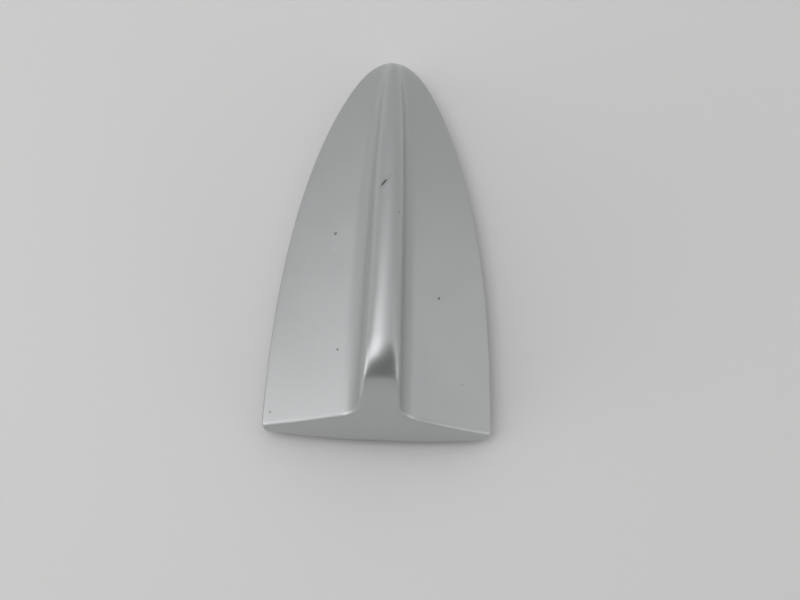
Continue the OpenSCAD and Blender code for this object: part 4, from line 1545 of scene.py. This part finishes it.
@dataclass(frozen=True)
class Glow:
    """Round place of the room that is brighter or darker than the rest.

    Attributes:
        azimuth: Direction of its middle from the part, in degrees from +X towards +Y.
        elevation: Height of its middle above the table's plane, in degrees.
        inner: Angle from the middle within which it is whole, in degrees.
        outer: Angle from the middle at which it ends, in degrees.
        level: Its brightness.
        floor: Height at which its lower side is cut off, in degrees. None leaves it round.
        cut: Half width of that cut's soft edge, as a part of the way up.
    """

    azimuth: float
    elevation: float
    inner: float
    outer: float
    level: float
    floor: float | None = None
    cut: float = 0.03

    def over(self, tree: Tree, way: Socket, light: Source) -> Socket:
        """Puts the glow over the light of the room.

        Args:
            tree: Builder of the world's tree.
            way: Direction in which the light is asked for.
            light: Light of the room before.

        Returns:
            Light with the glow in it.
        """
        middle = tuple(direction(self.azimuth, self.elevation))
        near = tree.vector("DOT_PRODUCT", {0: way, 1: middle}, "Value")
        mask = tree.ramp(near, math.cos(math.radians(self.outer)), math.cos(math.radians(self.inner)))
        if self.floor is not None:
            low = math.sin(math.radians(self.floor))
            above = tree.ramp(tree.axis(way, "Z"), low - self.cut, low + self.cut)
            mask = tree.math("MULTIPLY", mask, above)
        return tree.math("MULTIPLY_ADD", mask, tree.math("SUBTRACT", self.level, light), light)


@dataclass(frozen=True)
class Studio:
    """Pale table, a soft lamp, a room with bright and dark places, and the camera.

    Attributes:
        table, table_roughness, table_half: Colour and roughness of the table, and half its side, metres.
        room: Brightness of the room's light from above.
        room_low: Brightness of the room's light near the horizon.
        rise: How late the light rises with the height, as a power.
        glows: Bright and dark places of the room, each over those before it.
        lamp: Soft lamp above the part.
        lens, sensor: Focal length of the camera and width of its sensor, in millimetres.
        clip: Nearest and farthest distance that the camera sees, in metres.
        target: What the camera looks at, in millimetres.
        distance: Distance from there to the camera, in millimetres.
        elevation: Height of the camera above the table's plane, in degrees.
        azimuth: Turn of the view about Z, in degrees.
        roll: Roll of the camera, in degrees.
    """

    table: Colour = (0.795, 0.8, 0.79)
    table_roughness: float = 0.6
    table_half: float = 3.0
    room: float = 1.2
    room_low: float = 0.48
    rise: float = 3.0
    glows: tuple[Glow, ...] = (
        Glow(8.0, 26.0, 10.0, 28.0, 0.85),
        Glow(150.0, 50.0, 4.0, 22.0, 0.45),
        Glow(190.0, 15.0, 8.0, 24.0, 1.75),
        Glow(288.0, 38.0, 44.0, 54.0, 0.095, floor=7.0),
        Glow(330.0, 62.0, 20.0, 32.0, 0.05),
        Glow(213.0, 6.0, 7.0, 17.0, 2.9),
        Glow(332.0, 14.0, 11.0, 24.0, 1.2),
        Glow(310.0, 2.0, 5.0, 13.0, 2.4),
        Glow(275.0, -30.0, 30.0, 35.0, 1.5),
    )
    lamp: Softbox = Softbox("overhead_softbox", 170.0, 61.0, 1.3, (1.05, 1.05), 4.1)
    lens: float = 31.6
    sensor: float = 36.0
    clip: tuple[float, float] = (0.01, 50.0)
    target: Point = (6.0, -26.75, 20.0)
    distance: float = 251.4
    elevation: float = 75.9
    azimuth: float = -8.9
    roll: float = 11.45

    def build(self) -> None:
        """Makes the table, the light and the camera."""
        self.table_top()
        self.surroundings()
        self.lamp.light()
        self.camera()

    def table_top(self) -> None:
        """Flat pale table at the part's resting plane."""
        material = bpy.data.materials.new("table_paint")
        material.use_nodes = True
        tree = Tree(material.node_tree)
        shader = tree.node("ShaderNodeBsdfPrincipled",
                           {"Base Color": self.table, "Roughness": self.table_roughness})
        tree.node("ShaderNodeOutputMaterial", {"Surface": shader.outputs[0]})
        mesh = bpy.data.meshes.new("table")
        h = self.table_half
        mesh.from_pydata([(-h, -h, 0), (h, -h, 0), (h, h, 0), (-h, h, 0)], [], [(0, 1, 2, 3)])
        mesh.materials.append(material)
        table = linked("table", mesh)

    def surroundings(self) -> None:
        """Room light by direction.

        The light is room_low + (room - room_low) h^rise, with h the height of the direction above the
        horizon, and the glows lie over it.
        """
        world = bpy.data.worlds.new("room")
        bpy.context.scene.world = world
        world.use_nodes = True
        tree = Tree(world.node_tree)
        way = tree.node("ShaderNodeTexCoord").outputs["Generated"]
        height = tree.math("POWER", tree.math("MAXIMUM", tree.axis(way, "Z"), 0.0), self.rise)
        level = tree.math("MULTIPLY_ADD", height, self.room - self.room_low, self.room_low)
        for glow in self.glows:
            level = glow.over(tree, way, level)
        light = tree.node("ShaderNodeBackground", {"Strength": level, "Color": (1.0, 1.0, 1.0)})
        tree.node("ShaderNodeOutputWorld", {"Surface": light.outputs[0]})

    def camera(self) -> None:
        """Camera at the photograph's angle.

        With d the way it looks, r level to its right and u = r x d, the camera's own axes are r and u
        turned by the roll about d.
        """
        look = direction(self.azimuth + 90, -self.elevation)
        level = direction(self.azimuth, 0.0)
        up = level.cross(look)
        cos, sin = math.cos(math.radians(self.roll)), math.sin(math.radians(self.roll))
        lens = bpy.data.cameras.new("camera")
        lens.sensor_fit = "HORIZONTAL"
        lens.sensor_width = self.sensor
        lens.lens = self.lens
        lens.clip_start, lens.clip_end = self.clip
        camera = linked("camera", lens)
        place = (Vector(self.target) - look * self.distance) * MM
        axes = Matrix((level * cos + up * sin, up * cos - level * sin, -look)).transposed().to_4x4()
        camera.matrix_world = Matrix.Translation(place) @ axes
        bpy.context.scene.camera = camera


def main() -> None:
    """Loads the solids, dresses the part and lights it."""
    logging.basicConfig(level=logging.INFO, format="%(name)s: %(message)s")
    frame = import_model()
    bpy.context.scene.view_settings.view_transform = "Standard"
    effects = Effects()
    Internals(frame["nodes"], effects).dress()
    paint = SilverPaint().material(effects)
    plastic = Moulding("cover_plastic", (0.025, 0.025, 0.027), roughness=0.5).material(effects)
    brass = BareMetal("insert_brass", (0.78, 0.58, 0.28), roughness=0.25,
                      tarnish=(0.4, 0.28, 0.12)).material(effects)
    Cover().build(paint, plastic)
    FixingInsert().build(brass)
    Studio().build()


if __name__ == "__main__":
    main()
